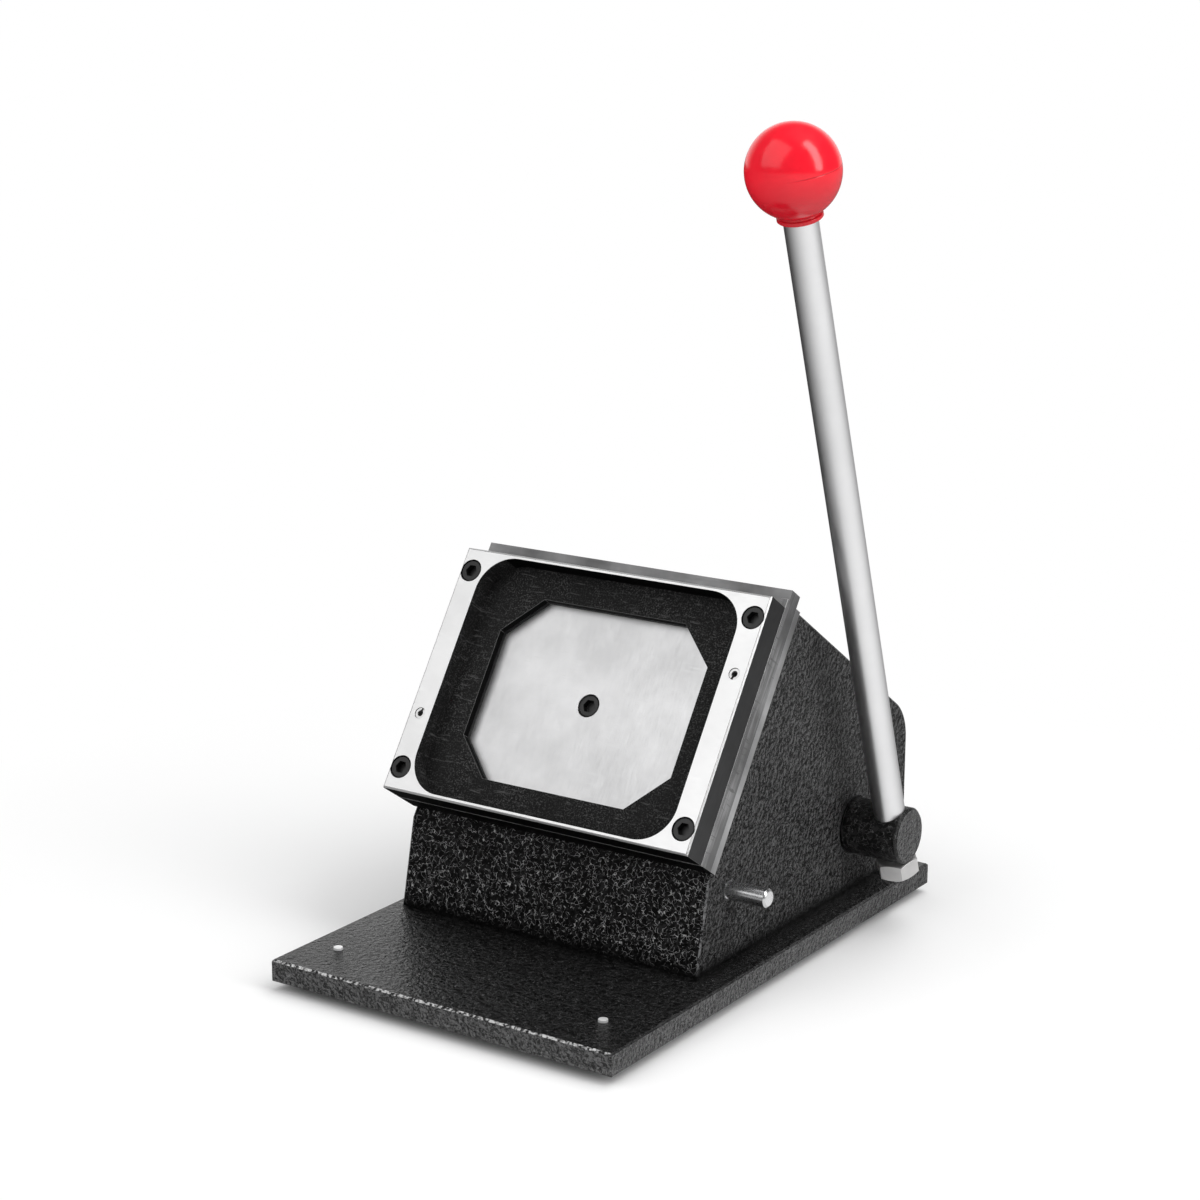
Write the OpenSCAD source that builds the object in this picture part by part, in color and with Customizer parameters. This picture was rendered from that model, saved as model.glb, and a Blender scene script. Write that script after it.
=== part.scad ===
// Stand cutter press: a lever turns a cam that drives an octagonal punch through a sloping die plate.
// Millimetres, +Z up, +X right, front towards -Y. Origin: on the bench, below the middle of the whole press.

/* [Base plate] */
// How far the base plate reaches past the housing on the left
ledge_left = 5; // [2:0.5:20]
// How far the base plate reaches past the housing on the right
ledge_right = 13; // [8:0.5:15]
// Depth of the base plate in front of the housing
apron = 81.2; // [50:0.1:120]
// Thickness of the base plate
base_t = 9.5; // [8:0.5:14]
// Bevel along the base plate's top edges
base_bevel = 0.8; // [0.4:0.1:2]

/* [Feet] */
// Height of a rubber foot
foot_h = 4; // [3.5:0.5:8]
// Diameter of a rubber foot
foot_d = 18; // [14:1:24]
// Distance of the left feet from the base plate's edge
foot_inset_left = 15.5; // [14:0.5:30]
// Distance of the right feet from the base plate's edge
foot_inset_right = 20.5; // [20:0.5:34]
// Distance of the feet from the base plate's front and back edges
foot_inset_y = 24.5; // [14:0.5:40]
// Thread diameter of a foot screw
foot_screw_d = 4; // [3:0.5:5]
// Head diameter of a foot screw
foot_head_d = 8; // [7:0.5:10]
// Head height of a foot screw
foot_head_h = 2.2; // [1.5:0.1:2.6]
// Depth of the pocket round a foot screw's head
foot_pocket = 2.6; // [2.2:0.1:3]
// How far a foot screw's tip stands above the base plate
foot_tip = 1; // [0.5:0.1:2]

/* [Housing] */
// Wall thickness of the housing
wall = 5; // [4:0.5:6]
// Thickness of the housing's sloping front wall
face_wall = 8; // [6:0.5:9]
// Lean of the housing's front wall, in degrees
front_lean = 12; // [10:0.5:14]
// How much narrower the housing is than the die plate
body_narrow = 3; // [2:0.5:6]
// Distance from the shaft's axis to the housing's back
back_room = 47.1; // [40:0.1:60]
// How far the housing's top stands above the die plate's top edge
body_rise = 3.2; // [1:0.1:6]
// Gap between the housing's back and the base plate's back edge
rear_inset = 0.3; // [0:0.1:4]
// Radius of the housing's upper back corner
back_corner_r = 22; // [12:1:30]
// Width of the opening behind the punch
opening_w = 118; // [114:1:122]
// Height of the opening behind the punch
opening_h = 91; // [88:1:94]
// Corner radius of the opening behind the punch
opening_r = 8; // [4:1:14]

/* [Housing screws] */
// Thread diameter of a housing screw
body_screw_d = 8; // [6:0.5:9]
// Head diameter of a housing screw
body_head_d = 16; // [14:0.5:18]
// Length of a housing screw's thread in its boss
body_screw_l = 16; // [12:1:20]
// Diameter of a screw boss
boss_d = 18; // [17:0.5:20]
// Height of a screw boss
boss_h = 20; // [18:1:24]
// Distance of the front bosses behind the housing's front edge
boss_front = 18.3; // [16:0.1:22]
// Distance of a back boss from the housing's middle
boss_back_x = 40; // [30:1:60]

/* [Die plate] */
// Slope of the die plate, in degrees above level
face_tilt = 56; // [54:0.5:58]
// Distance of the die plate's centre behind the housing's front edge
face_back = 20.8; // [16:0.1:24]
// Width of the die plate
plate_w = 155; // [150:1:158]
// Height of the die plate along the slope
plate_h = 113; // [110:1:116]
// Thickness of the die plate
plate_t = 13; // [12:0.5:14]
// Bevel round the die plate's front
plate_bevel = 0.7; // [0.3:0.1:1]
// Width of the rail beside the pocket
side_rail = 11.2; // [10.8:0.1:13]
// Width of the rail above and below the pocket
thin_rail = 1.8; // [1.4:0.1:4]
// Corner radius of the pocket
pocket_r = 16.5; // [10:0.5:20]
// Depth of the pocket
pocket_depth = 9.5; // [7:0.5:10.5]

/* [Cutting] */
// Width of the cut blank
cut_w = 106; // [96:1:110]
// Height of the cut blank
cut_h = 83; // [76:1:85]
// Corner clip of the cut blank
cut_clip = 17; // [12:1:22]
// Play between the punch and the die
cut_play = 0.1; // [0.05:0.01:0.2]
// Thickness of the punch
punch_t = 14; // [12:0.5:16]
// Stroke of the punch for one radian of the lever
cam_rate = 8; // [7:0.5:8.5]

/* [Slot and back plate] */
// Width of the sheet slot
slot_gap = 1.5; // [1:0.1:2]
// Thickness of the back plate
back_t = 7.5; // [6:0.5:9]
// How far the back plate stands above the die plate
back_rise = 8.5; // [5:0.5:12]
// Thickness of the mounting frame
frame_t = 4; // [3:0.5:5]
// Space round the punch in the mounting frame
frame_play = 2; // [1:0.5:4]
// Width of the lug at a spacer's upper end
lug_w = 3; // [2:0.5:4]
// Height of the lug at a spacer's upper end
lug_h = 4; // [2:0.5:5]

/* [Die screws and spring pins] */
// Thread diameter of a cap screw
cap_d = 6; // [5:0.5:6]
// Head diameter of a cap screw
cap_head_d = 10; // [8.5:0.5:10]
// Head height of a cap screw
cap_head_h = 6; // [5:0.5:6.5]
// Key size of a cap screw
cap_key = 5; // [4:0.5:5.5]
// Play round a cap screw's head
cap_play = 0.15; // [0.1:0.05:0.2]
// Depth of a cap screw's head below the plate's face
cap_sink = 0.3; // [0.1:0.1:0.5]
// Distance of a corner screw from the plate's end
cap_end = 10.4; // [8:0.1:13]
// Diameter of a spring pin, and of a dowel in the punch
dowel_d = 5; // [4:0.5:6]
// Diameter of the hole through a spring pin
dowel_hole_d = 2.6; // [1.6:0.1:2.8]
// Width of the slit along a spring pin
dowel_slit = 0.9; // [0.5:0.1:1.2]
// Direction of the slit, in degrees from level
slit_angle = 74; // [0:1:90]
// Height of the spring pins above and below the plate's centre
dowel_offset = 21.2; // [16:0.1:26]

/* [Ram] */
// Diameter of the ram
ram_d = 32; // [30:1:34]
// Diameter of the ram's head
ram_head_d = 64; // [58:1:70]
// Thickness of the ram's head
ram_head_t = 8; // [7:0.5:9]
// Length of the ram behind its head
ram_l = 76.55; // [72:0.05:84]
// Radial play of the ram and the shaft in their bushes
running_play = 0.03; // [0.02:0.01:0.08]
// Clearance between parts that pass each other
gap = 0.3; // [0.3:0.05:0.4]
// Wall thickness of the guide bush
bush_wall = 6; // [5:0.5:7]
// Flange thickness of the guide bush
bush_flange_t = 4; // [3:0.5:5]
// Flange width of the guide bush
bush_flange_w = 5; // [3:0.5:7]
// Thickness of the guide block
block_t = 16; // [13:0.5:18]
// Height of the guide block
block_h = 80; // [70:1:88]
// Thickness of the follower pad
pad_t = 5; // [4:0.5:6]
// Diameter of the follower pad
pad_d = 34; // [30:1:36]
// Distance of the punch dowels from the centre
punch_dowel_reach = 20; // [14:1:24]
// Depth of a punch dowel in each part
punch_dowel_grip = 6; // [5:0.5:6.5]

/* [Return spring] */
// Wire diameter of the return spring
wire_d = 4; // [3:0.25:4.25]
// Clearance between the ram and the spring
spring_play = 0.5; // [0.4:0.1:0.8]
// Number of curls of the return spring
curls = 8; // [5:1:8]
// Width of the spring's collar
collar_w = 7; // [6:0.5:8]
// Thickness of the spring's collar
collar_t = 6; // [5:0.5:7]
// Distance from the snap ring to the ram's end
snap_margin = 1.2; // [1:0.1:2.5]
// Thickness of the snap ring
snap_t = 2; // [1.5:0.25:2.5]
// Depth of the snap ring's groove
snap_groove = 1.5; // [1:0.25:2]

/* [Cross shaft] */
// Height of the shaft's axis above the base plate
shaft_rise = 29.5; // [26:0.1:40]
// Diameter of the cross shaft
shaft_d = 20; // [18:0.5:20.5]
// Wall thickness of a shaft bush
shaft_bush_wall = 3; // [2.5:0.5:4]
// Flange thickness of a shaft bush
shaft_flange_t = 2; // [1.5:0.25:3]
// How far a shaft bush's flange stands out round its bore
shaft_flange_w = 4; // [3:0.5:5]
// Depth of the right bush's end below the housing's side
bush_recess = 1; // [0.5:0.1:2]
// Length of a bearing boss inside the wall
bearing_boss_l = 12; // [10:0.5:14]
// Wall thickness of a bearing boss
bearing_boss_wall = 7; // [5:0.5:9]
// Thickness left at the blind end of the left bearing
blind_end = 3; // [2:0.5:3.5]
// Diameter of the shaft's tenon in the hub
tenon_d = 14; // [12:0.5:15]
// Length of the shaft's tenon in the hub
tenon_l = 10; // [8:0.5:11]
// Outer diameter of the shaft collar
shaft_collar_d = 32; // [28:1:36]
// Width of the shaft collar
shaft_collar_w = 12; // [10:0.5:14]

/* [Cam] */
// Distance from the shaft's axis to the pad at rest
cam_reach = 14; // [13.5:0.1:14.5]
// Clearance between the cam and its pad
cam_gap = 0.15; // [0.1:0.01:0.2]
// Width of the cam
cam_w = 24; // [20:1:28]
// Clearance between the cam's back and the pad
cam_relief = 0.5; // [0.3:0.1:0.8]
// Step from the cam's back down to its boss
cam_boss_step = 0.5; // [0.3:0.1:0.8]
// Length of the cam's boss
cam_boss_l = 10; // [9:0.5:13]
// Width and height of the key
key_w = 6; // [5:0.5:7]
// Depth of the key in the shaft
key_sink = 3; // [2.5:0.25:3.5]
// Diameter of a set screw
set_d = 5; // [4:0.5:6]

/* [Lever] */
// Lean of the lever towards the front at rest, in degrees
lever_lean = 18.3; // [15:0.1:22]
// Swing of the lever to its stop, in degrees
lever_swing = 64.5; // [60:0.5:66]
// Diameter of the lever's hub
hub_d = 25; // [24:0.5:30]
// Length of the lever's hub
hub_l = 27; // [25:0.5:34]
// Gap between the housing and the hub
hub_gap = 0.5; // [0.3:0.1:1]
// Distance of the rod's axis from the hub's outer end
rod_inset = 8.5; // [8:0.5:10]
// Diameter of the lever rod
rod_d = 14; // [12:0.5:14.5]
// Diameter of the rod's threaded ends
stud_d = 10; // [8:0.5:11]
// Distance from the shaft's axis to the ball's centre
lever_l = 311; // [260:1:340]
// Key size of the lock nut
nut_key = 17; // [15:0.5:19]
// Height of the lock nut
nut_h = 8; // [6:0.5:9]
// Turn of the lock nut about the lever, in degrees
nut_turn = 10; // [0:1:59]
// How far the stud stands out of the lock nut
stud_tip = 3.5; // [1:0.5:5]

/* [Ball knob] */
// Diameter of the ball
ball_d = 38; // [34:1:46]
// Diameter of the ball's collar
ball_collar_d = 18.5; // [17:0.5:22]
// Distance from the ball's centre to its collar's end
ball_collar_reach = 19.5; // [19.5:0.5:27]
// Outer diameter of the threaded insert
insert_d = 13; // [12:0.5:15]
// Length of the threaded insert
insert_l = 18; // [14:0.5:19]

/* [Stop pin] */
// Diameter of the stop pin
pin_d = 8; // [7:0.5:10]
// How far the stop pin stands out of the housing
pin_out = 19.2; // [14:0.1:24]
// Distance of the stop pin behind the housing's front edge
pin_back = 24.5; // [22:0.1:34]
// Gap between the lever and the stop pin at the end of the stroke
pin_gap = 0.38; // [0.3:0.01:0.8]
// Diameter of the stop pin's boss
pin_boss_d = 20; // [18:0.5:22]

/* [Hidden] */
$fn = 64;
eps = 0.01;
base_top = foot_h + base_t;
body_w = plate_w - body_narrow;
body_left = -body_w / 2;
body_right = body_w / 2;
base_left = body_left - ledge_left;
base_right = body_right + ledge_right;
slot_front = plate_t;
slot_back = plate_t + slot_gap;
back_rear = slot_back + back_t;
frame_rear = back_rear + frame_t;
wall_rear = frame_rear + face_wall;
rail_x = (plate_w - side_rail) / 2;
cap_y = plate_h / 2 - cap_end;
pocket_w = plate_w - 2 * side_rail;
pocket_h = plate_h - 2 * thin_rail;
recess_depth = cap_head_h + cap_sink;
pilot_play = 0.05;
die_screw_l = wall_rear - recess_depth - gap;
punch_rear = slot_back + punch_t;
head_rear = punch_rear + ram_head_t;
ram_rear = head_rear + ram_l;
pad_rear = ram_rear + pad_t;
shaft_depth = pad_rear + cam_gap + cam_reach;
bush_front = head_rear + gap;
block_front = bush_front + bush_flange_t;
block_rear = block_front + block_t;
guide_r = ram_d / 2 + running_play;
guide_bush_r = ram_d / 2 + bush_wall;
snap_rear = ram_rear - snap_margin;
snap_front = snap_rear - snap_t;
collar_front = snap_front - collar_t;
shaft_y = face_back + shaft_depth * sin(face_tilt);
shaft_z = base_top + shaft_rise;
face_z = shaft_z + shaft_depth * cos(face_tilt);
body_back = shaft_y + back_room;
base_front = -apron;
base_back = body_back + rear_inset;
shaft_bush_r = shaft_d / 2 + shaft_bush_wall;
left_bearing_in = body_left + wall + bearing_boss_l;
right_bearing_in = body_right - wall - bearing_boss_l;
hub_in = body_right + hub_gap;
hub_out = hub_in + hub_l;
rod_x = hub_out - rod_inset;
cam_left = -cam_w / 2;
cam_right = cam_w / 2;
cam_start = cam_reach / cam_rate;
cam_back_r = cam_reach - cam_relief;
cam_boss_r = cam_back_r - cam_boss_step;
cam_turn = lever_swing * PI / 180;
key_angle = 25;
boss_x = body_w / 2 - wall - boss_d / 2 + 1;
boss_back_y = body_back - wall - boss_d / 2 + 1;
end_lean = lever_lean + lever_swing;
pin_drop = rod_d / 2 + pin_d / 2 + pin_gap;
pin_y = pin_back;
pin_run = (shaft_y - pin_y - pin_drop * cos(end_lean)) / sin(end_lean);
pin_z = shaft_z + pin_run * cos(end_lean) - pin_drop * sin(end_lean);
middle_x = (base_left + max(base_right, rod_x + ball_d / 2)) / 2;
middle_y = (base_front + base_back) / 2;
curl_steps = 8;
wire_sides = 6;
spring_r = (ram_d / 2 + spring_play) / cos(180 / curl_steps) + wire_d / 2;
spring_top = block_rear + gap + wire_d / 2;
spring_end = collar_front - gap - wire_d / 2;

// A point of the side view from its place along the slope and its depth behind the die plate's face
function slope_point(along, depth) = [
    face_back + along * cos(face_tilt) + depth * sin(face_tilt),
    face_z + along * sin(face_tilt) - depth * cos(face_tilt)
];

// Where the front wall's line meets the plane at a depth behind the die plate's face
function front_corner(inset, depth) =
    let (foot_y = inset / cos(front_lean))
    let (foot_depth = (foot_y - face_back) * sin(face_tilt) - (base_top - face_z) * cos(face_tilt))
    let (run = (foot_depth - depth) / cos(face_tilt + front_lean))
    [foot_y + run * sin(front_lean), base_top + run * cos(front_lean)];

// Where the sloping top meets the upright back
function back_corner(inset) =
    let (top = slope_point(plate_h / 2 + body_rise - inset, 0))
    let (rear = body_back - inset)
    [rear, top[1] - (rear - top[0]) / tan(face_tilt)];

// A point of the cam's involute: square to the pad where they touch, and steady in its lift
function involute(turn) =
    let (lift = cam_rate * (cam_start + turn))
    let (back = -turn * 180 / PI)
    [
        cam_rate * cos(back) - lift * sin(back),
        cam_rate * sin(back) + lift * cos(back)
    ];

// Moves the whole from the housing's front edge to the origin
module from_middle() {
    translate([-middle_x, -middle_y, 0])
        children();
}

// Places children in the die plate's frame: y up the slope, z out of its face
module on_face() {
    translate([0, face_back, face_z])
        rotate([face_tilt, 0, 0])
            children();
}

// A slab of a flat outline between two depths behind the die plate's face
module slab(front, rear) {
    translate([0, 0, -rear])
        linear_extrude(rear - front)
            children();
}

// A round bar between two depths behind the die plate's face
module bar(front, rear, d) {
    translate([0, 0, -rear])
        cylinder(d = d, h = rear - front);
}

// Extrudes a side view between two places across the width
module across(left, right) {
    translate([left, 0, 0])
        rotate([90, 0, 90])
            linear_extrude(right - left)
                children();
}

// A round bar across the width on the shaft's axis
module shaft_bar(left, right, d) {
    translate([left, shaft_y, shaft_z])
        rotate([0, 90, 0])
            cylinder(d = d, h = right - left);
}

// Places children in the lever's frame: z along the rod, from the shaft's axis
module on_lever() {
    translate([rod_x, shaft_y, shaft_z])
        rotate([lever_lean, 0, 0])
            children();
}

module at_corners(x, y) {
    for (side = [-1, 1])
        for (end = [-1, 1])
            translate([side * x, end * y])
                children();
}

// Places children at the spring pins, the right one turned half round
module at_dowels() {
    for (turn = [0, 180])
        rotate(turn)
            translate([-rail_x, -dowel_offset])
                children();
}

module at_feet() {
    for (x = [base_left + foot_inset_left, base_right - foot_inset_right])
        for (y = [base_front + foot_inset_y, base_back - foot_inset_y])
            translate([x, y, 0])
                children();
}

module at_bosses() {
    for (side = [-1, 1]) {
        translate([side * boss_x, boss_front, 0])
            children();
        translate([side * boss_back_x, boss_back_y, 0])
            children();
    }
}

module rounded_rectangle(w, h, r) {
    square([w - 2 * r, h], center = true);
    square([w, h - 2 * r], center = true);
    at_corners(w / 2 - r, h / 2 - r)
        circle(r);
}

// The blank's outline, grown evenly on every side
module blank_outline(grow) {
    x = cut_w / 2 + grow;
    y = cut_h / 2 + grow;
    clip = cut_clip + grow * (2 - sqrt(2));
    polygon([
        [x - clip, y], [x, y - clip], [x, clip - y], [x - clip, -y],
        [clip - x, -y], [-x, clip - y], [-x, y - clip], [clip - x, y]
    ]);
}

// Outline of the plates, between two places along the slope
module plate_outline(low, high) {
    translate([-plate_w / 2, low])
        square([plate_w, high - low]);
}

// Holes of the four corner screws through a plate
module corner_holes(front, rear, d) {
    at_corners(rail_x, cap_y)
        bar(front, rear, d);
}

module dowel_holes(front, rear) {
    at_dowels()
        bar(front, rear, dowel_d + 2 * pilot_play);
}

// Socket cap screw: the head's top is at the origin and the thread points down
module cap_screw(thread_l) {
    difference() {
        union() {
            translate([0, 0, -cap_head_h])
                cylinder(d = cap_head_d, h = cap_head_h - 0.5);
            translate([0, 0, -0.5])
                cylinder(d1 = cap_head_d, d2 = cap_head_d - 1, h = 0.5);
            translate([0, 0, -cap_head_h - thread_l])
                cylinder(d = cap_d, h = thread_l + eps);
        }
        translate([0, 0, -cap_head_h / 2])
            cylinder(d = cap_key / cos(30), h = cap_head_h, $fn = 6);
    }
}

// Set screw: the socket end is at the origin and the point is down
module set_screw(l) {
    difference() {
        translate([0, 0, -l])
            cylinder(d = set_d, h = l);
        translate([0, 0, -set_d / 2])
            cylinder(d = set_d / 2 / cos(30), h = set_d, $fn = 6);
    }
}

// Cuts the bevels along the top edges of a block centred on the origin, with its top at z = 0
module top_bevels(w, d, bevel) {
    for (side = [-1, 1]) {
        translate([side * w / 2, 0, 0])
            rotate([0, 45, 0])
                cube([bevel * sqrt(2), d + 2, bevel * sqrt(2)], center = true);
        translate([0, side * d / 2, 0])
            rotate([45, 0, 0])
                cube([w + 2, bevel * sqrt(2), bevel * sqrt(2)], center = true);
    }
}

module base_plate() {
    base_w = base_right - base_left;
    base_d = base_back - base_front;
    color([0.05, 0.05, 0.055]) from_middle()
        difference() {
            translate([base_left, base_front, foot_h])
                cube([base_w, base_d, base_t]);
            translate([base_left + base_w / 2, middle_y, base_top])
                top_bevels(base_w, base_d, base_bevel);
            at_feet()
                translate([0, 0, foot_h - 1])
                    cylinder(d = foot_screw_d + 2 * pilot_play, h = base_t + 2);
            at_bosses()
                body_screw_room();
        }
}

module rubber_feet() {
    color([0.03, 0.03, 0.03]) from_middle()
        at_feet()
            difference() {
                cylinder(d = foot_d, h = foot_h);
                translate([0, 0, -1])
                    cylinder(d = foot_head_d + 1, h = foot_pocket + 1);
                cylinder(d = foot_screw_d + 2 * pilot_play, h = foot_h + 1);
            }
}

module foot_screws() {
    color([0.8, 0.8, 0.82]) from_middle()
        at_feet() {
            translate([0, 0, foot_pocket - foot_head_h])
                cylinder(d = foot_head_d, h = foot_head_h);
            translate([0, 0, foot_pocket])
                cylinder(d = foot_screw_d, h = base_top + foot_tip - foot_pocket);
        }
}

// Countersunk screw that holds the housing, from the base plate's underside
module body_screw_form(play, thread_l) {
    cone = (body_head_d - body_screw_d) / 2;
    translate([0, 0, foot_h - play])
        cylinder(d = body_head_d + 2 * play, h = 1 + play);
    translate([0, 0, foot_h + 1])
        cylinder(d1 = body_head_d + 2 * play, d2 = body_screw_d + 2 * play, h = cone);
    translate([0, 0, foot_h + 1])
        cylinder(d = body_screw_d + 2 * play, h = base_t - 1 + thread_l);
}

module body_screw_room() {
    body_screw_form(pilot_play, boss_h - 1);
}

module body_screws() {
    color([0.25, 0.25, 0.27]) from_middle()
        at_bosses()
            difference() {
                body_screw_form(0, body_screw_l);
                translate([0, 0, foot_h - eps])
                    cylinder(d = cap_key / cos(30), h = 3, $fn = 6);
            }
}

// Side view of the housing, drawn in from its outside by an inset
module housing_view(inset, face_depth, bottom) {
    corner = back_corner(inset);
    r = back_corner_r - inset;
    leg = r * tan(face_tilt / 2);
    down = [sin(face_tilt), -cos(face_tilt)];
    slope_end = corner - leg * down;
    back_end = corner - [0, leg];
    center = back_end - [r, 0];
    foot = front_corner(inset, face_depth);
    up = [cos(face_tilt), sin(face_tilt)];
    behind = [1, 0];
    difference() {
        polygon([
            [foot[0] - (foot[1] - bottom) * tan(front_lean), bottom],
            foot,
            slope_point(plate_h / 2 + body_rise - inset, face_depth),
            corner,
            [corner[0], bottom]
        ]);
        polygon([
            slope_end, slope_end + up, corner + up,
            corner + behind, back_end + behind, back_end, center
        ]);
    }
    translate(center)
        circle(r, $fn = 96);
}

module body_housing() {
    color([0.05, 0.05, 0.055]) from_middle()
        difference() {
            union() {
                difference() {
                    across(body_left, body_right)
                        housing_view(0, frame_rear, base_top);
                    across(body_left + wall, body_right - wall)
                        housing_view(wall, wall_rear, base_top - 1);
                }
                shaft_bar(body_left + wall - 1, left_bearing_in, 2 * (shaft_bush_r + bearing_boss_wall));
                shaft_bar(right_bearing_in, body_right - wall + 1, 2 * (shaft_bush_r + bearing_boss_wall));
                stop_pin_bar(body_right - wall - bearing_boss_l, body_right - wall + 1, pin_boss_d);
                at_bosses()
                    translate([0, 0, base_top])
                        cylinder(d = boss_d, h = boss_h);
            }
            on_face() {
                slab(frame_rear - 1, wall_rear + 1)
                    rounded_rectangle(opening_w, opening_h, opening_r);
                corner_holes(frame_rear - 1, wall_rear + 1, cap_d + 2 * pilot_play);
            }
            shaft_bar(body_left + blind_end, left_bearing_in + 1, 2 * shaft_bush_r);
            shaft_bar(right_bearing_in - 1, body_right + 1, 2 * shaft_bush_r);
            stop_pin_bar(body_right - wall - bearing_boss_l - 1, body_right + 1, pin_d + 2 * pilot_play);
            stop_pin_screw_place()
                translate([0, 0, -1])
                    cylinder(d = set_d + 2 * pilot_play, h = pin_boss_d);
            at_bosses()
                body_screw_room();
            at_feet()
                translate([0, 0, base_top - 1])
                    cylinder(d = foot_screw_d + 2 * gap, h = foot_tip + 1 + gap);
        }
}

module plate(front, rear, low, high) {
    on_face()
        difference() {
            slab(front, rear)
                plate_outline(low, high);
            children();
        }
}

module mounting_frame() {
    color([0.72, 0.72, 0.74]) from_middle()
        plate(back_rear, frame_rear, -plate_h / 2, plate_h / 2 + body_rise) {
            slab(back_rear - 1, frame_rear + 1)
                blank_outline(frame_play);
            corner_holes(back_rear - 1, frame_rear + 1, cap_d + 2 * pilot_play);
            dowel_holes(back_rear - 1, frame_rear + 1);
        }
}

module back_plate() {
    color([0.4, 0.4, 0.41]) from_middle()
        plate(slot_back, back_rear, -plate_h / 2, plate_h / 2 + back_rise) {
            slab(slot_back - 1, back_rear + 1)
                blank_outline(0);
            corner_holes(slot_back - 1, back_rear + 1, cap_d + 2 * pilot_play);
            dowel_holes(slot_back - 1, back_rear + 1);
        }
}

// Outline of the right spacer, with a lug that guides the sheet's edge
module spacer_outline() {
    translate([plate_w / 2 - side_rail, -plate_h / 2])
        square([side_rail, plate_h]);
    translate([plate_w / 2 - lug_w, 0])
        square([lug_w, plate_h / 2 + lug_h]);
}

// Strip that sets the sheet slot
module spacer() {
    color([0.8, 0.8, 0.82]) from_middle()
        on_face()
            difference() {
                slab(slot_front, slot_back)
                    children();
                corner_holes(slot_front - 1, slot_back + 1, cap_d + 2 * pilot_play);
                dowel_holes(slot_front - 1, slot_back + 1);
            }
}

module left_spacer() {
    spacer()
        mirror([1, 0])
            spacer_outline();
}

module right_spacer() {
    spacer()
        spacer_outline();
}

module die_plate() {
    color([0.86, 0.86, 0.87]) from_middle()
        plate(0, plate_t, -plate_h / 2, plate_h / 2) {
            slab(-1, pocket_depth)
                rounded_rectangle(pocket_w, pocket_h, pocket_r);
            slab(0, plate_t + 1)
                blank_outline(0);
            corner_holes(-1, plate_t + 1, cap_d + 2 * pilot_play);
            corner_holes(-1, recess_depth, cap_head_d + 2 * cap_play);
            dowel_holes(-1, plate_t + 1);
            top_bevels(plate_w, plate_h, plate_bevel);
        }
}

module die_screws() {
    color([0.08, 0.08, 0.08]) from_middle()
        on_face()
            at_corners(rail_x, cap_y)
                translate([0, 0, -cap_sink])
                    cap_screw(die_screw_l);
}

module die_dowels() {
    color([0.8, 0.8, 0.82]) from_middle()
        on_face()
            at_dowels()
                difference() {
                    bar(cap_sink, frame_rear - gap, dowel_d);
                    bar(0, frame_rear, dowel_hole_d);
                    slab(0, frame_rear)
                        rotate(slit_angle)
                            translate([0, -dowel_slit / 2])
                                square([dowel_d, dowel_slit]);
                }
}

module ram_guide_block() {
    block_w = body_w - 2 * wall;
    color([0.35, 0.35, 0.37]) from_middle()
        on_face()
            difference() {
                slab(block_front, block_rear)
                    square([block_w, block_h], center = true);
                bar(block_front - 1, block_rear + 1, 2 * guide_bush_r);
            }
}

module guide_bush() {
    color([0.72, 0.55, 0.28]) from_middle()
        on_face()
            difference() {
                union() {
                    bar(bush_front, block_front, 2 * (guide_bush_r + bush_flange_w));
                    bar(bush_front, block_rear, 2 * guide_bush_r);
                }
                bar(bush_front - 1, block_rear + 1, 2 * guide_r);
            }
}

// Flanged bush: the flange is at the inner end
module shaft_bush(flange_left, flange_right, end_left, end_right) {
    color([0.72, 0.55, 0.28]) from_middle()
        difference() {
            union() {
                shaft_bar(flange_left, flange_right, 2 * (shaft_bush_r + shaft_flange_w));
                shaft_bar(end_left, end_right, 2 * shaft_bush_r);
            }
            shaft_bar(body_left, body_right + 1, shaft_d + 2 * running_play);
        }
}

module left_shaft_bush() {
    shaft_bush(left_bearing_in, left_bearing_in + shaft_flange_t,
        body_left + blind_end, left_bearing_in + shaft_flange_t);
}

module right_shaft_bush() {
    shaft_bush(right_bearing_in - shaft_flange_t, right_bearing_in,
        right_bearing_in - shaft_flange_t, body_right - bush_recess);
}

module stop_pin_bar(left, right, d) {
    translate([left, pin_y, pin_z])
        rotate([0, 90, 0])
            cylinder(d = d, h = right - left);
}

// Axis of the set screw, up from the stop pin in the middle of its boss
module stop_pin_screw_place() {
    translate([body_right - wall - bearing_boss_l / 2, pin_y, pin_z + pin_d / 2])
        children();
}

module stop_pin() {
    color([0.85, 0.85, 0.86]) from_middle()
        difference() {
            stop_pin_bar(body_right - wall - bearing_boss_l, body_right + pin_out, pin_d);
            translate([body_right + pin_out, pin_y, pin_z])
                rotate([0, 90, 0])
                    rim_cut(pin_d, 0.8);
        }
}

// Ring that bevels a bar's end, with the end at z = 0
module rim_cut(d, bevel) {
    rotate_extrude()
        polygon([[d / 2 - bevel, 0], [d / 2, -bevel], [d / 2 + 1, -bevel], [d / 2 + 1, 1], [d / 2 - bevel, 1]]);
}

module stop_pin_screw() {
    screw_l = pin_boss_d / 2 - pin_d / 2 - 1;
    color([0.1, 0.1, 0.1]) from_middle()
        stop_pin_screw_place()
            translate([0, 0, screw_l + pilot_play])
                set_screw(screw_l);
}

// Centre of the spring's wire after a number of steps
function coil_point(i) =
    let (steps = curls * curl_steps)
    let (angle = 360 * i / curl_steps)
    [
        spring_r * cos(angle),
        spring_r * sin(angle),
        -(spring_top + (spring_end - spring_top) * i / steps)
    ];

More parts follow.
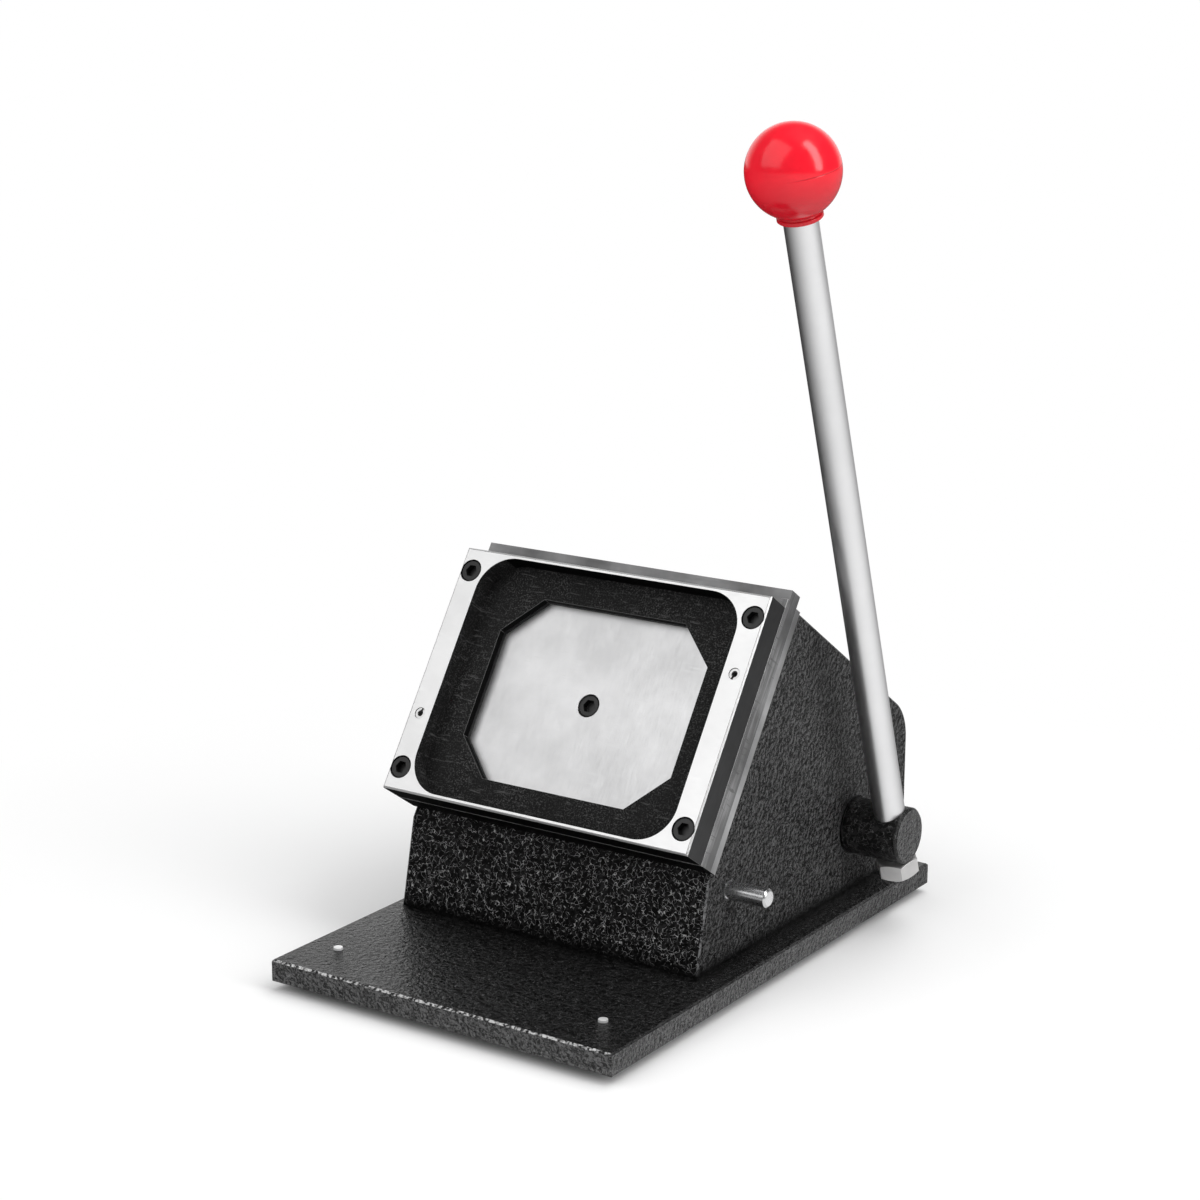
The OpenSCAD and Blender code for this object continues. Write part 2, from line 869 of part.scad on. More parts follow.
// Ring of points round the wire, in the plane of the coil's radius and its axis
function wire_ring(i) = [
    for (k = [0 : wire_sides - 1])
        let (angle = 360 * i / curl_steps)
        let (turn = 360 * k / wire_sides)
        let (out = wire_d / 2 * cos(turn))
        coil_point(i) + [out * cos(angle), out * sin(angle), wire_d / 2 * sin(turn)]
];

function coil_gap() =
    let (steps = curls * curl_steps)
    min([
        for (i = [0 : steps - curl_steps])
            for (j = [i + curl_steps - 1 : min(i + curl_steps + 1, steps)])
                norm(coil_point(i) - coil_point(j)) - wire_d
    ]);

module return_spring() {
    steps = curls * curl_steps;
    points = [for (i = [0 : steps]) each wire_ring(i)];
    sides = [
        for (i = [0 : steps - 1])
            for (k = [0 : wire_sides - 1])
                let (a = i * wire_sides + k)
                let (b = i * wire_sides + (k + 1) % wire_sides)
                each [[a, a + wire_sides, b], [b, a + wire_sides, b + wire_sides]]
    ];
    start = [[for (k = [0 : wire_sides - 1]) k]];
    finish = [[for (k = [wire_sides - 1 : -1 : 0]) steps * wire_sides + k]];
    color([0.55, 0.56, 0.58]) from_middle()
        on_face()
            polyhedron(points = points, faces = concat(start, sides, finish), convexity = 10);
}

module punch_plate() {
    color([0.84, 0.84, 0.85]) from_middle()
        on_face()
            difference() {
                slab(slot_back, punch_rear)
                    blank_outline(-cut_play);
                bar(slot_back - 1, punch_rear + 1, cap_d + 2 * pilot_play);
                bar(slot_back - 1, slot_back + recess_depth, cap_head_d + 2 * cap_play);
                punch_dowel_bars(punch_rear - punch_dowel_grip, punch_rear + 1, 2 * pilot_play);
            }
}

module punch_dowel_bars(front, rear, play) {
    for (side = [-1, 1])
        translate([side * punch_dowel_reach, 0])
            bar(front, rear, dowel_d + play);
}

module punch_screw() {
    thread_l = punch_rear - slot_back - recess_depth + 2.5 * cap_d;
    color([0.08, 0.08, 0.08]) from_middle()
        on_face()
            translate([0, 0, -slot_back - cap_sink])
                cap_screw(thread_l);
}

module punch_dowels() {
    color([0.75, 0.75, 0.77]) from_middle()
        on_face()
            punch_dowel_bars(punch_rear - punch_dowel_grip + pilot_play,
                punch_rear + punch_dowel_grip - pilot_play, 0);
}

module ram() {
    color([0.68, 0.68, 0.7]) from_middle()
        on_face()
            difference() {
                union() {
                    bar(punch_rear, head_rear, ram_head_d);
                    bar(punch_rear, ram_rear, ram_d);
                }
                bar(punch_rear - 1, punch_rear + 3 * cap_d, cap_d + 2 * pilot_play);
                punch_dowel_bars(punch_rear - 1, punch_rear + punch_dowel_grip, 2 * pilot_play);
                bar(ram_rear - 3 * set_d, ram_rear + 1, set_d + 2 * pilot_play);
                difference() {
                    bar(snap_front, snap_rear, ram_d + 2);
                    bar(snap_front - 1, snap_rear + 1, ram_d - 2 * snap_groove);
                }
            }
}

module spring_collar() {
    color([0.5, 0.5, 0.52]) from_middle()
        on_face()
            difference() {
                bar(collar_front, snap_front, ram_d + 2 * collar_w);
                bar(collar_front - 1, snap_front + 1, ram_d);
            }
}

module ram_snap_ring() {
    ring_d = ram_d - 2 * snap_groove;
    color([0.2, 0.2, 0.2]) from_middle()
        on_face()
            difference() {
                bar(snap_front, snap_rear, ram_d + 2 * snap_groove + 2);
                bar(snap_front - 1, snap_rear + 1, ring_d);
                slab(snap_front - 1, snap_rear + 1)
                    translate([-2, 0])
                        square([4, ram_d]);
            }
}

// Countersunk hole or screw head, with its wide end at a depth behind the die plate's face
module pad_screw_head(play) {
    translate([0, 0, -pad_rear])
        cylinder(d1 = 2 * set_d + 2 * play, d2 = set_d + 2 * play, h = set_d / 2);
}

module follower_pad() {
    color([0.6, 0.6, 0.63]) from_middle()
        on_face()
            difference() {
                bar(ram_rear, pad_rear, pad_d);
                bar(ram_rear - 1, pad_rear + 1, set_d + 2 * pilot_play);
                pad_screw_head(pilot_play);
            }
}

module follower_screw() {
    color([0.15, 0.15, 0.15]) from_middle()
        on_face()
            difference() {
                union() {
                    pad_screw_head(0);
                    bar(ram_rear - 2 * set_d, pad_rear, set_d);
                }
                translate([0, 0, -pad_rear - 1])
                    cylinder(d = set_d / 2 / cos(30), h = set_d / 2 + 1, $fn = 6);
            }
}

// A block that lies across the shaft at the key's angle, from one radius to another
module key_block(left, right, inner, outer, w) {
    on_face()
        translate([left, 0, -shaft_depth])
            rotate([key_angle, 0, 0])
                translate([0, inner, -w / 2])
                    cube([right - left, outer - inner, w]);
}

module cross_shaft() {
    color([0.7, 0.7, 0.72]) from_middle()
        difference() {
            union() {
                shaft_bar(body_left + blind_end + gap, hub_in, shaft_d);
                shaft_bar(hub_in - 1, hub_in + tenon_l, tenon_d);
            }
            key_block(cam_left, cam_right, shaft_d / 2 - key_sink, shaft_d, key_w + 2 * pilot_play);
        }
}

// Side view of the cam, in the die plate's frame, about the shaft's axis
module cam_view() {
    steps = 40;
    first = -0.35;
    last = cam_turn + 0.08;
    tip = involute(last);
    heel_angle = atan2(tip[1], tip[0]) - 40;
    heel = 0.9 * cam_back_r * [cos(heel_angle), sin(heel_angle)];
    circle(cam_back_r);
    polygon([
        [0, 0],
        heel,
        for (i = [0 : steps])
            involute(last - (last - first) * i / steps)
    ]);
}

module cam() {
    color([0.45, 0.45, 0.48]) from_middle()
        difference() {
            union() {
                on_face()
                    translate([0, 0, -shaft_depth])
                        across(-cam_w / 2, cam_w / 2)
                            cam_view();
                shaft_bar(cam_right - 1, cam_right + cam_boss_l, 2 * cam_boss_r);
            }
            shaft_bar(cam_left - 1, cam_right + cam_boss_l + 1, shaft_d + 2 * pilot_play);
            key_block(cam_left - 1, cam_right + 1, 0, shaft_d / 2 + key_w - key_sink + pilot_play,
                key_w + 2 * pilot_play);
            set_screw_place(cam_right + cam_boss_l / 2, 0)
                cylinder(d = set_d + 2 * pilot_play, h = 2 * cam_boss_r);
        }
}

module cam_key() {
    color([0.6, 0.6, 0.6]) from_middle()
        key_block(cam_left + pilot_play, cam_right - pilot_play,
            shaft_d / 2 - key_sink, shaft_d / 2 - key_sink + key_w, key_w);
}

// Places children on a set screw's axis, pointing away from the shaft
module set_screw_place(x, r) {
    on_face()
        translate([x, 0, -shaft_depth])
            rotate([180 + face_tilt, 0, 0])
                translate([0, 0, r])
                    children();
}

module shaft_set_screw(x, outer_r) {
    color([0.1, 0.1, 0.1]) from_middle()
        set_screw_place(x, outer_r)
            set_screw(outer_r - shaft_d / 2 - pilot_play);
}

module cam_screw() {
    shaft_set_screw(cam_right + cam_boss_l / 2, cam_boss_r);
}

module shaft_collar() {
    collar_right = right_bearing_in - shaft_flange_t - gap;
    color([0.5, 0.5, 0.52]) from_middle()
        difference() {
            shaft_bar(collar_right - shaft_collar_w, collar_right, shaft_collar_d);
            shaft_bar(collar_right - shaft_collar_w - 1, collar_right + 1, shaft_d + 2 * pilot_play);
            set_screw_place(collar_right - shaft_collar_w / 2, 0)
                cylinder(d = set_d + 2 * pilot_play, h = shaft_collar_d);
        }
}

module collar_screw() {
    shaft_set_screw(right_bearing_in - shaft_flange_t - gap - shaft_collar_w / 2, shaft_collar_d / 2);
}

module lever_hub() {
    color([0.05, 0.05, 0.055]) from_middle()
        difference() {
            shaft_bar(hub_in, hub_out, hub_d);
            shaft_bar(hub_in - 1, hub_in + tenon_l + pilot_play, tenon_d + 2 * pilot_play);
            translate([hub_out, shaft_y, shaft_z])
                rotate([0, 90, 0])
                    rim_cut(hub_d, 1);
            on_lever() {
                cylinder(d = rod_d + 2 * pilot_play, h = hub_d);
                translate([0, 0, -hub_d])
                    cylinder(d = stud_d + 2 * pilot_play, h = hub_d + 1);
            }
        }
}

module lever_rod() {
    stud_l = hub_d / 2 + nut_h + stud_tip;
    shoulder = lever_l - ball_collar_reach;
    color([0.78, 0.78, 0.8]) from_middle()
        on_lever() {
            translate([0, 0, pilot_play])
                cylinder(d = rod_d, h = shoulder - pilot_play);
            translate([0, 0, -stud_l])
                cylinder(d = stud_d, h = stud_l + 1);
            translate([0, 0, shoulder - 1])
                cylinder(d = stud_d, h = insert_l);
        }
}

module lock_nut() {
    color([0.7, 0.7, 0.7]) from_middle()
        on_lever()
            translate([0, 0, -hub_d / 2 - nut_h])
                difference() {
                    intersection() {
                        rotate([0, 0, nut_turn])
                            cylinder(d = nut_key / cos(30), h = nut_h, $fn = 6);
                        rotate_extrude()
                            polygon([
                                [0, 0], [nut_key / 2 - 0.2, 0], [nut_key / 2 + 1.6, 1.1],
                                [nut_key / 2 + 1.6, nut_h - 1.1], [nut_key / 2 - 0.2, nut_h], [0, nut_h]
                            ]);
                    }
                    translate([0, 0, -1])
                        cylinder(d = stud_d + 2 * pilot_play, h = nut_h + 2);
                }
}

module ball_knob() {
    color([0.85, 0.04, 0.05]) from_middle()
        on_lever()
            translate([0, 0, lever_l])
                difference() {
                    union() {
                        sphere(d = ball_d, $fn = 96);
                        translate([0, 0, -ball_collar_reach])
                            cylinder(d = ball_collar_d, h = ball_collar_reach);
                    }
                    translate([0, 0, -ball_collar_reach - 1])
                        cylinder(d = insert_d, h = insert_l + 1);
                }
}

module knob_insert() {
    color([0.75, 0.6, 0.3]) from_middle()
        on_lever()
            translate([0, 0, lever_l - ball_collar_reach])
                difference() {
                    cylinder(d = insert_d, h = insert_l);
                    translate([0, 0, -1])
                        cylinder(d = stud_d + 2 * pilot_play, h = insert_l + pilot_play);
                }
}

echo(least_gap_between_the_springs_curls = coil_gap());

base_plate();
rubber_feet();
foot_screws();
body_housing();
body_screws();
mounting_frame();
back_plate();
left_spacer();
right_spacer();
die_plate();
die_screws();
die_dowels();
ram_guide_block();
guide_bush();
left_shaft_bush();
right_shaft_bush();
stop_pin();
stop_pin_screw();
return_spring();
punch_plate();
punch_screw();
punch_dowels();
ram();
spring_collar();
ram_snap_ring();
follower_pad();
follower_screw();
cross_shaft();
cam();
cam_key();
cam_screw();
shaft_collar();
collar_screw();
lever_hub();
lever_rod();
lock_nut();
ball_knob();
knob_insert();
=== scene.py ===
"""Dresses the lever-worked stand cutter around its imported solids, in metres."""

import logging
import math
from collections.abc import Callable, Iterable, Mapping, Sequence
from dataclasses import dataclass
from enum import Enum

import bmesh
import bpy
from mathutils import Matrix, Vector


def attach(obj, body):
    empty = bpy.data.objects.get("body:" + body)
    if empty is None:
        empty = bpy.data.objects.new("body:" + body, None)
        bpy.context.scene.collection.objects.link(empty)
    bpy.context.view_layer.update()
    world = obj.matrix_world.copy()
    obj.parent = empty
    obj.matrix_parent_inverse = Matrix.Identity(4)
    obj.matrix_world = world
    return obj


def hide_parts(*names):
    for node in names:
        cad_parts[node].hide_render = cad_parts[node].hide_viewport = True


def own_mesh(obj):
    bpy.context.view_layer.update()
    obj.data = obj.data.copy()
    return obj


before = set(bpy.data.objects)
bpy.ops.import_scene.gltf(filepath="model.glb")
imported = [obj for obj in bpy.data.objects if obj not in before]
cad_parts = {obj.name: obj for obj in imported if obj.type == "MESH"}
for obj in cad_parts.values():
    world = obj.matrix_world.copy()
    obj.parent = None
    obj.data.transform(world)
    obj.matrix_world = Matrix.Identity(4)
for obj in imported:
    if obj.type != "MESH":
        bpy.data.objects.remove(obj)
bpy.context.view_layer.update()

LOG = logging.getLogger("cutter")
MM = 0.001

Profile = Sequence[tuple[float, float]]
Colour = tuple[float, float, float]
Point = tuple[float, float, float]
Socket = bpy.types.NodeSocket
Sockets = Mapping[str, Socket]
Node = bpy.types.Node
BMesh = bmesh.types.BMesh
BMEdge = bmesh.types.BMEdge
EdgeTest = Callable[[BMEdge], bool]
FacePick = Callable[[bmesh.types.BMFace], int]


class Body(Enum):
    """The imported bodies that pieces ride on."""

    STAND = "stand"
    RAM = "ram"
    LEVER = "lever"


class Turn(Enum):
    """Which way a metal surface was ground or turned, as stretch factors of its grain."""

    ALONG_X = (0.06, 1.0, 1.0)
    ALONG_Y = (1.0, 0.06, 1.0)
    ROUND_Z = (0.35, 0.35, 3.0)
    EVEN = (1.0, 1.0, 1.0)


@dataclass(frozen=True)
class Place:
    """A piece's own frame: an origin in millimetres and a turn about X in degrees."""

    x: float
    y: float
    z: float
    tilt: float = 0.0

    def matrix(self) -> Matrix:
        """Returns the matrix from the frame's metres to the model's."""
        origin = Vector((self.x, self.y, self.z)) * MM
        return Matrix.Translation(origin) @ Matrix.Rotation(math.radians(self.tilt), 4, "X")


# The housing's foot on the base in millimetres, then the frames of the sloping face and of the lever
FOOT_CENTRE = (-16.5, 40.45, 13.5)
FOOT_HALF = (76.0, 88.75, 0.0)
FACE = Place(-16.5, -27.5, 116.925, 56.0)
LEVER = Place(78.5, 82.0988, 43.0, 18.3)


def grey(level: float, blue: float | None = None) -> Colour:
    """Gives a grey, or a near grey with its own blue.

    Args:
        level: Its red and green.
        blue: Its blue; the same as the others if it is left out.

    Returns:
        The colour.
    """
    return (level, level, level if blue is None else blue)


def shaded(colour: Colour, share: float) -> Colour:
    """Darkens or lightens a colour.

    Args:
        colour: The colour.
        share: Factor of its brightness.

    Returns:
        The new colour, no brighter than 1.
    """
    return tuple(min(1.0, c * share) for c in colour)


# Shader building

class Tree:
    """Adds and links the nodes of one shader tree."""

    def __init__(self, tree: bpy.types.NodeTree) -> None:
        """Keeps the tree.

        Args:
            tree: The material's or group's node tree.
        """
        self.tree = tree

    @classmethod
    def fresh(cls, data: bpy.types.Material | bpy.types.World) -> "Tree":
        """Empties the nodes of a new material or world.

        Args:
            data: The material or the world.

        Returns:
            Its tree.
        """
        data.use_nodes = True
        data.node_tree.nodes.clear()
        return cls(data.node_tree)

    def feed(self, sockets: Iterable[Socket], values: Iterable[object]) -> None:
        """Links inputs to other sockets, or sets them.

        Args:
            sockets: The inputs.
            values: A socket, a number, a vector or a colour for each.
        """
        for socket, value in zip(sockets, values):
            if isinstance(value, Socket):
                self.tree.links.new(value, socket)
            elif socket.type == "RGBA":
                socket.default_value = (*value, 1.0)
            else:
                socket.default_value = value

    def add(self, kind: str, **values: object) -> Node:
        """Adds a node and sets its properties and sockets.

        Args:
            kind: Node type, such as "ShaderNodeBump".
            values: Properties, or socket values with their names in lower case.

        Returns:
            The new node.
        """
        node = self.tree.nodes.new(kind)
        for key, value in values.items():
            socket = next((s for s in node.inputs if s.name.lower().replace(" ", "_") == key), None)
            if socket is None:
                setattr(node, key, value)
            else:
                self.feed([socket], [value])
        return node

    def noise(self, vector: Socket, scale: float | Socket, detail: float = 3.0, rough: float = 0.5) -> Socket:
        """Adds a noise texture and returns its value socket.

        Args:
            vector: Where the pattern is read.
            scale: Waves per metre.
            detail: Octaves.
            rough: Strength of the fine octaves.

        Returns:
            The noise's value socket.
        """
        node = self.add("ShaderNodeTexNoise", vector=vector, scale=scale, detail=detail, roughness=rough)
        return node.outputs[0]

    def math(self, operation: str, *values: float | Socket) -> Socket:
        """Adds a math node and returns its result.

        Args:
            operation: Blender's name of the operation.
            values: A socket or a number for each input.

        Returns:
            The result's socket.
        """
        node = self.add("ShaderNodeMath", operation=operation)
        self.feed(node.inputs, values)
        return node.outputs[0]

    def vector_math(self, operation: str, *values: object) -> Socket:
        """Adds a vector math node and returns its result.

        Args:
            operation: Blender's name of the operation.
            values: A socket or a vector for each input.

        Returns:
            The socket of the vector, or of the number for a product or a length.
        """
        node = self.add("ShaderNodeVectorMath", operation=operation)
        self.feed(node.inputs, values)
        return node.outputs["Value" if operation in ("DOT_PRODUCT", "LENGTH") else "Vector"]

    def ranged(
        self, value: Socket, low: float, high: float, out_low: float = 0.0, out_high: float = 1.0,
    ) -> Socket:
        """Maps a value from one range to another, clamped.

        Args:
            value: The socket to map.
            low: Start of its range.
            high: End of its range.
            out_low: Result at the start.
            out_high: Result at the end.

        Returns:
            The result's socket.
        """
        node = self.add(
            "ShaderNodeMapRange", value=value, from_min=low, from_max=high, to_min=out_low, to_max=out_high,
        )
        return node.outputs[0]

    def blend(self, share: float | Socket, first: object, second: object, colours: bool = True) -> Socket:
        """Mixes two colours or two numbers.

        Args:
            share: Socket or number, how much of the second.
            first: Socket, colour or number.
            second: Socket, colour or number.
            colours: False for numbers.

        Returns:
            The result's socket.
        """
        kind, places, result = ("RGBA", (0, 6, 7), 2) if colours else ("FLOAT", (0, 2, 3), 0)
        node = self.add("ShaderNodeMix", data_type=kind)
        self.feed([node.inputs[i] for i in places], (share, first, second))
        return node.outputs[result]


class Pattern:
    """A shader group that is built once and placed in many materials.

    It takes vectors and numbers, here with each number's default, and gives numbers.
    """

    title = ""
    takes: Mapping[str, float | None] = {}
    gives: tuple[str, ...] = ()

    def tree(self) -> bpy.types.NodeTree:
        """Returns the group, building it at its first use."""
        group = bpy.data.node_groups.get(self.title)
        if group is not None:
            return group
        group = bpy.data.node_groups.new(self.title, "ShaderNodeTree")
        for name, value in self.takes.items():
            kind = "NodeSocketVector" if value is None else "NodeSocketFloat"
            made = group.interface.new_socket(name=name, in_out="INPUT", socket_type=kind)
            if value is not None:
                made.default_value = value
        for name in self.gives:
            group.interface.new_socket(name=name, in_out="OUTPUT", socket_type="NodeSocketFloat")
        tree = Tree(group)
        tree.feed(tree.add("NodeGroupOutput").inputs, self.fill(tree, tree.add("NodeGroupInput").outputs))
        return group

    def fill(self, tree: Tree, given: Sockets) -> Sequence[Socket]:
        """Makes the group's inner nodes.

        Args:
            tree: The group's tree.
            given: Its inputs by name.

        Returns:
            What the group gives, in that order.
        """
        raise NotImplementedError

    def place(self, tree: Tree, **values: object) -> Sockets:
        """Places the group in a material.

        Args:
            tree: The material's tree.
            values: Sockets or numbers by input name in lower case.

        Returns:
            The group's results by name.
        """
        return tree.add("ShaderNodeGroup", node_tree=self.tree(), **values).outputs


class Hammer(Pattern):
    """Crinkled paint: fine raised wrinkles over a low grain."""

    title = "hammer_paint"
    takes = {"Vector": None, "Cells": 420.0}
    gives = ("Height", "Vein", "Ridge", "PaintedLitSlopes", "Patch")

    WARP = (0.0026, 0.0026, 0.0026)
    SWELL = (480.0, 3.0, 0.62)
    LIT_FROM = (0.0003, -0.0004, 0.0004)

    def fill(self, tree: Tree, given: Sockets) -> Sequence[Socket]:
        """Joins two sets of broken wrinkles, a fine grain, painted light on its slopes and broad patches."""
        vector = given["Vector"]
        warp = tree.add("ShaderNodeTexNoise", vector=vector, scale=320.0, detail=1.0)
        bent = tree.vector_math("MULTIPLY_ADD", warp.outputs[1], self.WARP, vector)
        cells = given["Cells"]
        edges = tree.add("ShaderNodeTexVoronoi", feature="DISTANCE_TO_EDGE", vector=bent, scale=cells)
        broken = tree.ranged(tree.noise(vector, 560.0, 1.0), 0.47, 0.56)
        net = tree.math("MULTIPLY", tree.ranged(edges.outputs[0], 0.004, 0.038, 1.0, 0.0), broken)
        level = tree.math("ABSOLUTE", tree.math("SUBTRACT", tree.noise(bent, 380.0, 1.0), 0.5))
        kept = tree.ranged(tree.noise(vector, 460.0, 1.0), 0.48, 0.54)
        worms = tree.math("MULTIPLY", tree.ranged(level, 0.002, 0.013, 1.0, 0.0), kept)
        vein = tree.math("MAXIMUM", net, worms)
        swell = tree.noise(bent, *self.SWELL)
        ridge = tree.ranged(swell, 0.48, 0.62)
        # One side of each swell is lightened as if lit from LIT_FROM: painted relief shading, given as a
        # colour mask
        nudged = tree.noise(tree.vector_math("ADD", bent, self.LIT_FROM), *self.SWELL)
        relief = tree.ranged(tree.math("SUBTRACT", nudged, swell), -0.05, 0.09)
        raised = tree.math("ADD", tree.math("MULTIPLY", vein, 0.4), tree.math("MULTIPLY", swell, 1.6))
        patch = tree.ranged(tree.noise(vector, 14.0, 2.0), 0.35, 0.65)
        return raised, vein, ridge, relief, patch


class Grain(Pattern):
    """Ground or turned steel: fine lines, cross scratches and soft clouds."""

    title = "steel_grain"
    takes = {"Vector": None, "Place": None, "Lines": 2600.0}
    gives = ("Height", "Cloud", "Scratch")

    def fill(self, tree: Tree, given: Sockets) -> Sequence[Socket]:
        """Joins line noise with a few long scratches and broad clouds."""
        place = given["Place"]
        lines = tree.noise(given["Vector"], given["Lines"], 4.0, 0.6)
        turned = tree.add("ShaderNodeMapping", vector=place, rotation=(0.0, 0.0, 0.9), scale=(1.0, 9.0, 1.0))
        cross = tree.ranged(tree.noise(turned.outputs[0], 90.0, 3.0, 0.6), 0.6, 0.72)
        cloud = tree.noise(place, 34.0, 4.0, 0.55)
        height = tree.math("SUBTRACT", lines, tree.math("MULTIPLY", cross, 0.25))
        return height, cloud, cross


class Speckle(Pattern):
    """Fine sandy specks, as on etched or gritty surfaces."""

    title = "sandy_specks"
    takes = {"Vector": None, "Grit": 900.0}
    gives = ("Speck", "Smear")

    def fill(self, tree: Tree, given: Sockets) -> Sequence[Socket]:
        """Thresholds fine noise for the specks and keeps broad noise for the smears."""
        vector = given["Vector"]
        speck = tree.ranged(tree.noise(vector, given["Grit"], 2.0, 0.7), 0.5, 0.72)
        smear = tree.ranged(tree.noise(vector, 60.0, 3.0, 0.6), 0.4, 0.65)
        return speck, smear


# Finishes

WEAR_AND_HIGHLIGHT = "edge_wear"
HAMMER, GRAIN, SPECKLE = Hammer(), Grain(), Speckle()


@dataclass(frozen=True)
class Finish:
    """One material. Subclasses join their patterns to the shader."""

    name: str
    colour: Colour
    rough: float
    metal: float = 0.0
    shine: float = 0.5
    place: Place = Place(0.0, 0.0, 0.0)

    def material(self) -> bpy.types.Material:
        """Returns the material, building it at its first use."""
        made = bpy.data.materials.get(self.name)
        if made is not None:
            return made
        made = bpy.data.materials.new(self.name)
        tree = Tree.fresh(made)
        shader = tree.add(
            "ShaderNodeBsdfPrincipled", base_color=self.colour, roughness=self.rough, metallic=self.metal,
            specular_ior_level=self.shine,
        )
        tree.add("ShaderNodeOutputMaterial", surface=shader.outputs[0])
        self.dress(tree, shader)
        return made

    def vector(self, tree: Tree, stretch: Turn = Turn.EVEN) -> Socket:
        """Gives Object coordinates turned into the finish's own frame.

        Args:
            tree: The material's tree.
            stretch: Stretch of the pattern along the frame's axes.

        Returns:
            The coordinates' socket.
        """
        turned = tree.add(
            "ShaderNodeMapping", vector_type="TEXTURE", location=self.place.matrix().translation,
            vector=tree.add("ShaderNodeTexCoord").outputs["Object"],
            rotation=(math.radians(self.place.tilt), 0.0, 0.0),
        )
        return tree.vector_math("MULTIPLY", turned.outputs[0], stretch.value)

    def wear_and_highlight(self, tree: Tree) -> Socket:
        """Returns the piece's own mark of its rounded edges, from 0 to 1."""
        return tree.add("ShaderNodeAttribute", attribute_name=WEAR_AND_HIGHLIGHT).outputs["Fac"]

    def apply(
        self, tree: Tree, shader: Node, colour: Socket, gloss: Socket, height: Socket, depth: float,
    ) -> None:
        """Feeds the shader.

        Args:
            tree: The material's tree.
            shader: The Principled node.
            colour: Its colour.
            gloss: Its roughness.
            height: Height of its relief, from 0 to 1.
            depth: Depth in metres of a height of 1.
        """
        relief = tree.add("ShaderNodeBump", height=height, distance=depth).outputs[0]
        inputs = [shader.inputs[name] for name in ("Base Color", "Roughness", "Normal")]
        tree.feed(inputs, (colour, gloss, relief))

    def dress(self, tree: Tree, shader: Node) -> None:
        """Joins the finish's patterns to the shader.

        Args:
            tree: The material's tree.
            shader: The Principled node.
        """
        raise NotImplementedError


@dataclass(frozen=True)
class HammerPaint(Finish):
    """Black crinkled stove paint, paler on its wrinkles and worn along its edges, with painted light: glints
    on the front's veins, light on the slopes of the lit copies, a highlight on the base's front bevel and
    shade in the corner at the housing's foot.
    """

    cells: float = 420.0
    depth: float = 0.0005
    ridge_and_lit_slope_colour: Colour = grey(0.045, 0.046)
    vein_and_glint_colour: Colour = grey(0.5, 0.502)
    worn_and_highlight_colour: Colour = grey(0.2, 0.205)
    fine: float = 1.0
    toned: str = "Ridge"

    # Width of the painted shade in the corner at the housing's foot, in metres
    PAINTED_CORNER_SHADE = (0.0005, 0.006)
    GLOSS_SPAN = 0.08

    def corner(self, tree: Tree, place: Socket) -> Socket:
        """Gives the distance from the corner between the housing and the base, where shade is painted.

        Args:
            tree: The material's tree.
            place: Object coordinates.

        Returns:
            The distance's socket, in metres.
        """
        centred = tree.vector_math("SUBTRACT", place, tuple(v * MM for v in FOOT_CENTRE))
        mirrored = tree.vector_math("ABSOLUTE", centred)
        away = tree.vector_math("SUBTRACT", mirrored, tuple(v * MM for v in FOOT_HALF))
        x, y, z = tree.add("ShaderNodeSeparateXYZ", vector=away).outputs
        return tree.math("MAXIMUM", tree.math("MAXIMUM", x, y), z)

    def dress(self, tree: Tree, shader: Node) -> None:
        """Raises the wrinkles, lightens them with painted glints and painted light on their slopes, breaks up
        the worn edges and their painted highlight, paints shade into the foot's corner and varies the gloss.
        """
        place = self.vector(tree)
        small = tree.add("ShaderNodeVectorMath", operation="SCALE", vector=place, scale=self.fine)
        paint = HAMMER.place(tree, vector=small.outputs[0], cells=self.cells)
        # The toning and the pale veins carry painted light: glints on the front's veins and light on the
        # slopes of the lit copies
        toned_colour = tree.blend(paint[self.toned], self.colour, self.ridge_and_lit_slope_colour)
        veins_and_glints = tree.blend(paint["Vein"], toned_colour, self.vein_and_glint_colour)
        chips = tree.ranged(tree.noise(place, 700.0, 2.0), 0.42, 0.6)
        # Edge marks take the worn colour: wear, and on the base's front bevel a painted highlight
        worn_and_highlight = tree.blend(tree.math("MULTIPLY", self.wear_and_highlight(tree), chips), veins_and_glints, self.worn_and_highlight_colour)
        # Near the housing's foot the paint falls back to its darkest colour: painted contact shade
        corner_shaded = tree.blend(tree.ranged(self.corner(tree, place), *self.PAINTED_CORNER_SHADE), self.colour, worn_and_highlight)
        gloss = tree.ranged(paint["Patch"], 0.0, 1.0, self.rough, self.rough + self.GLOSS_SPAN)
        self.apply(tree, shader, corner_shaded, gloss, paint["Height"], self.depth)


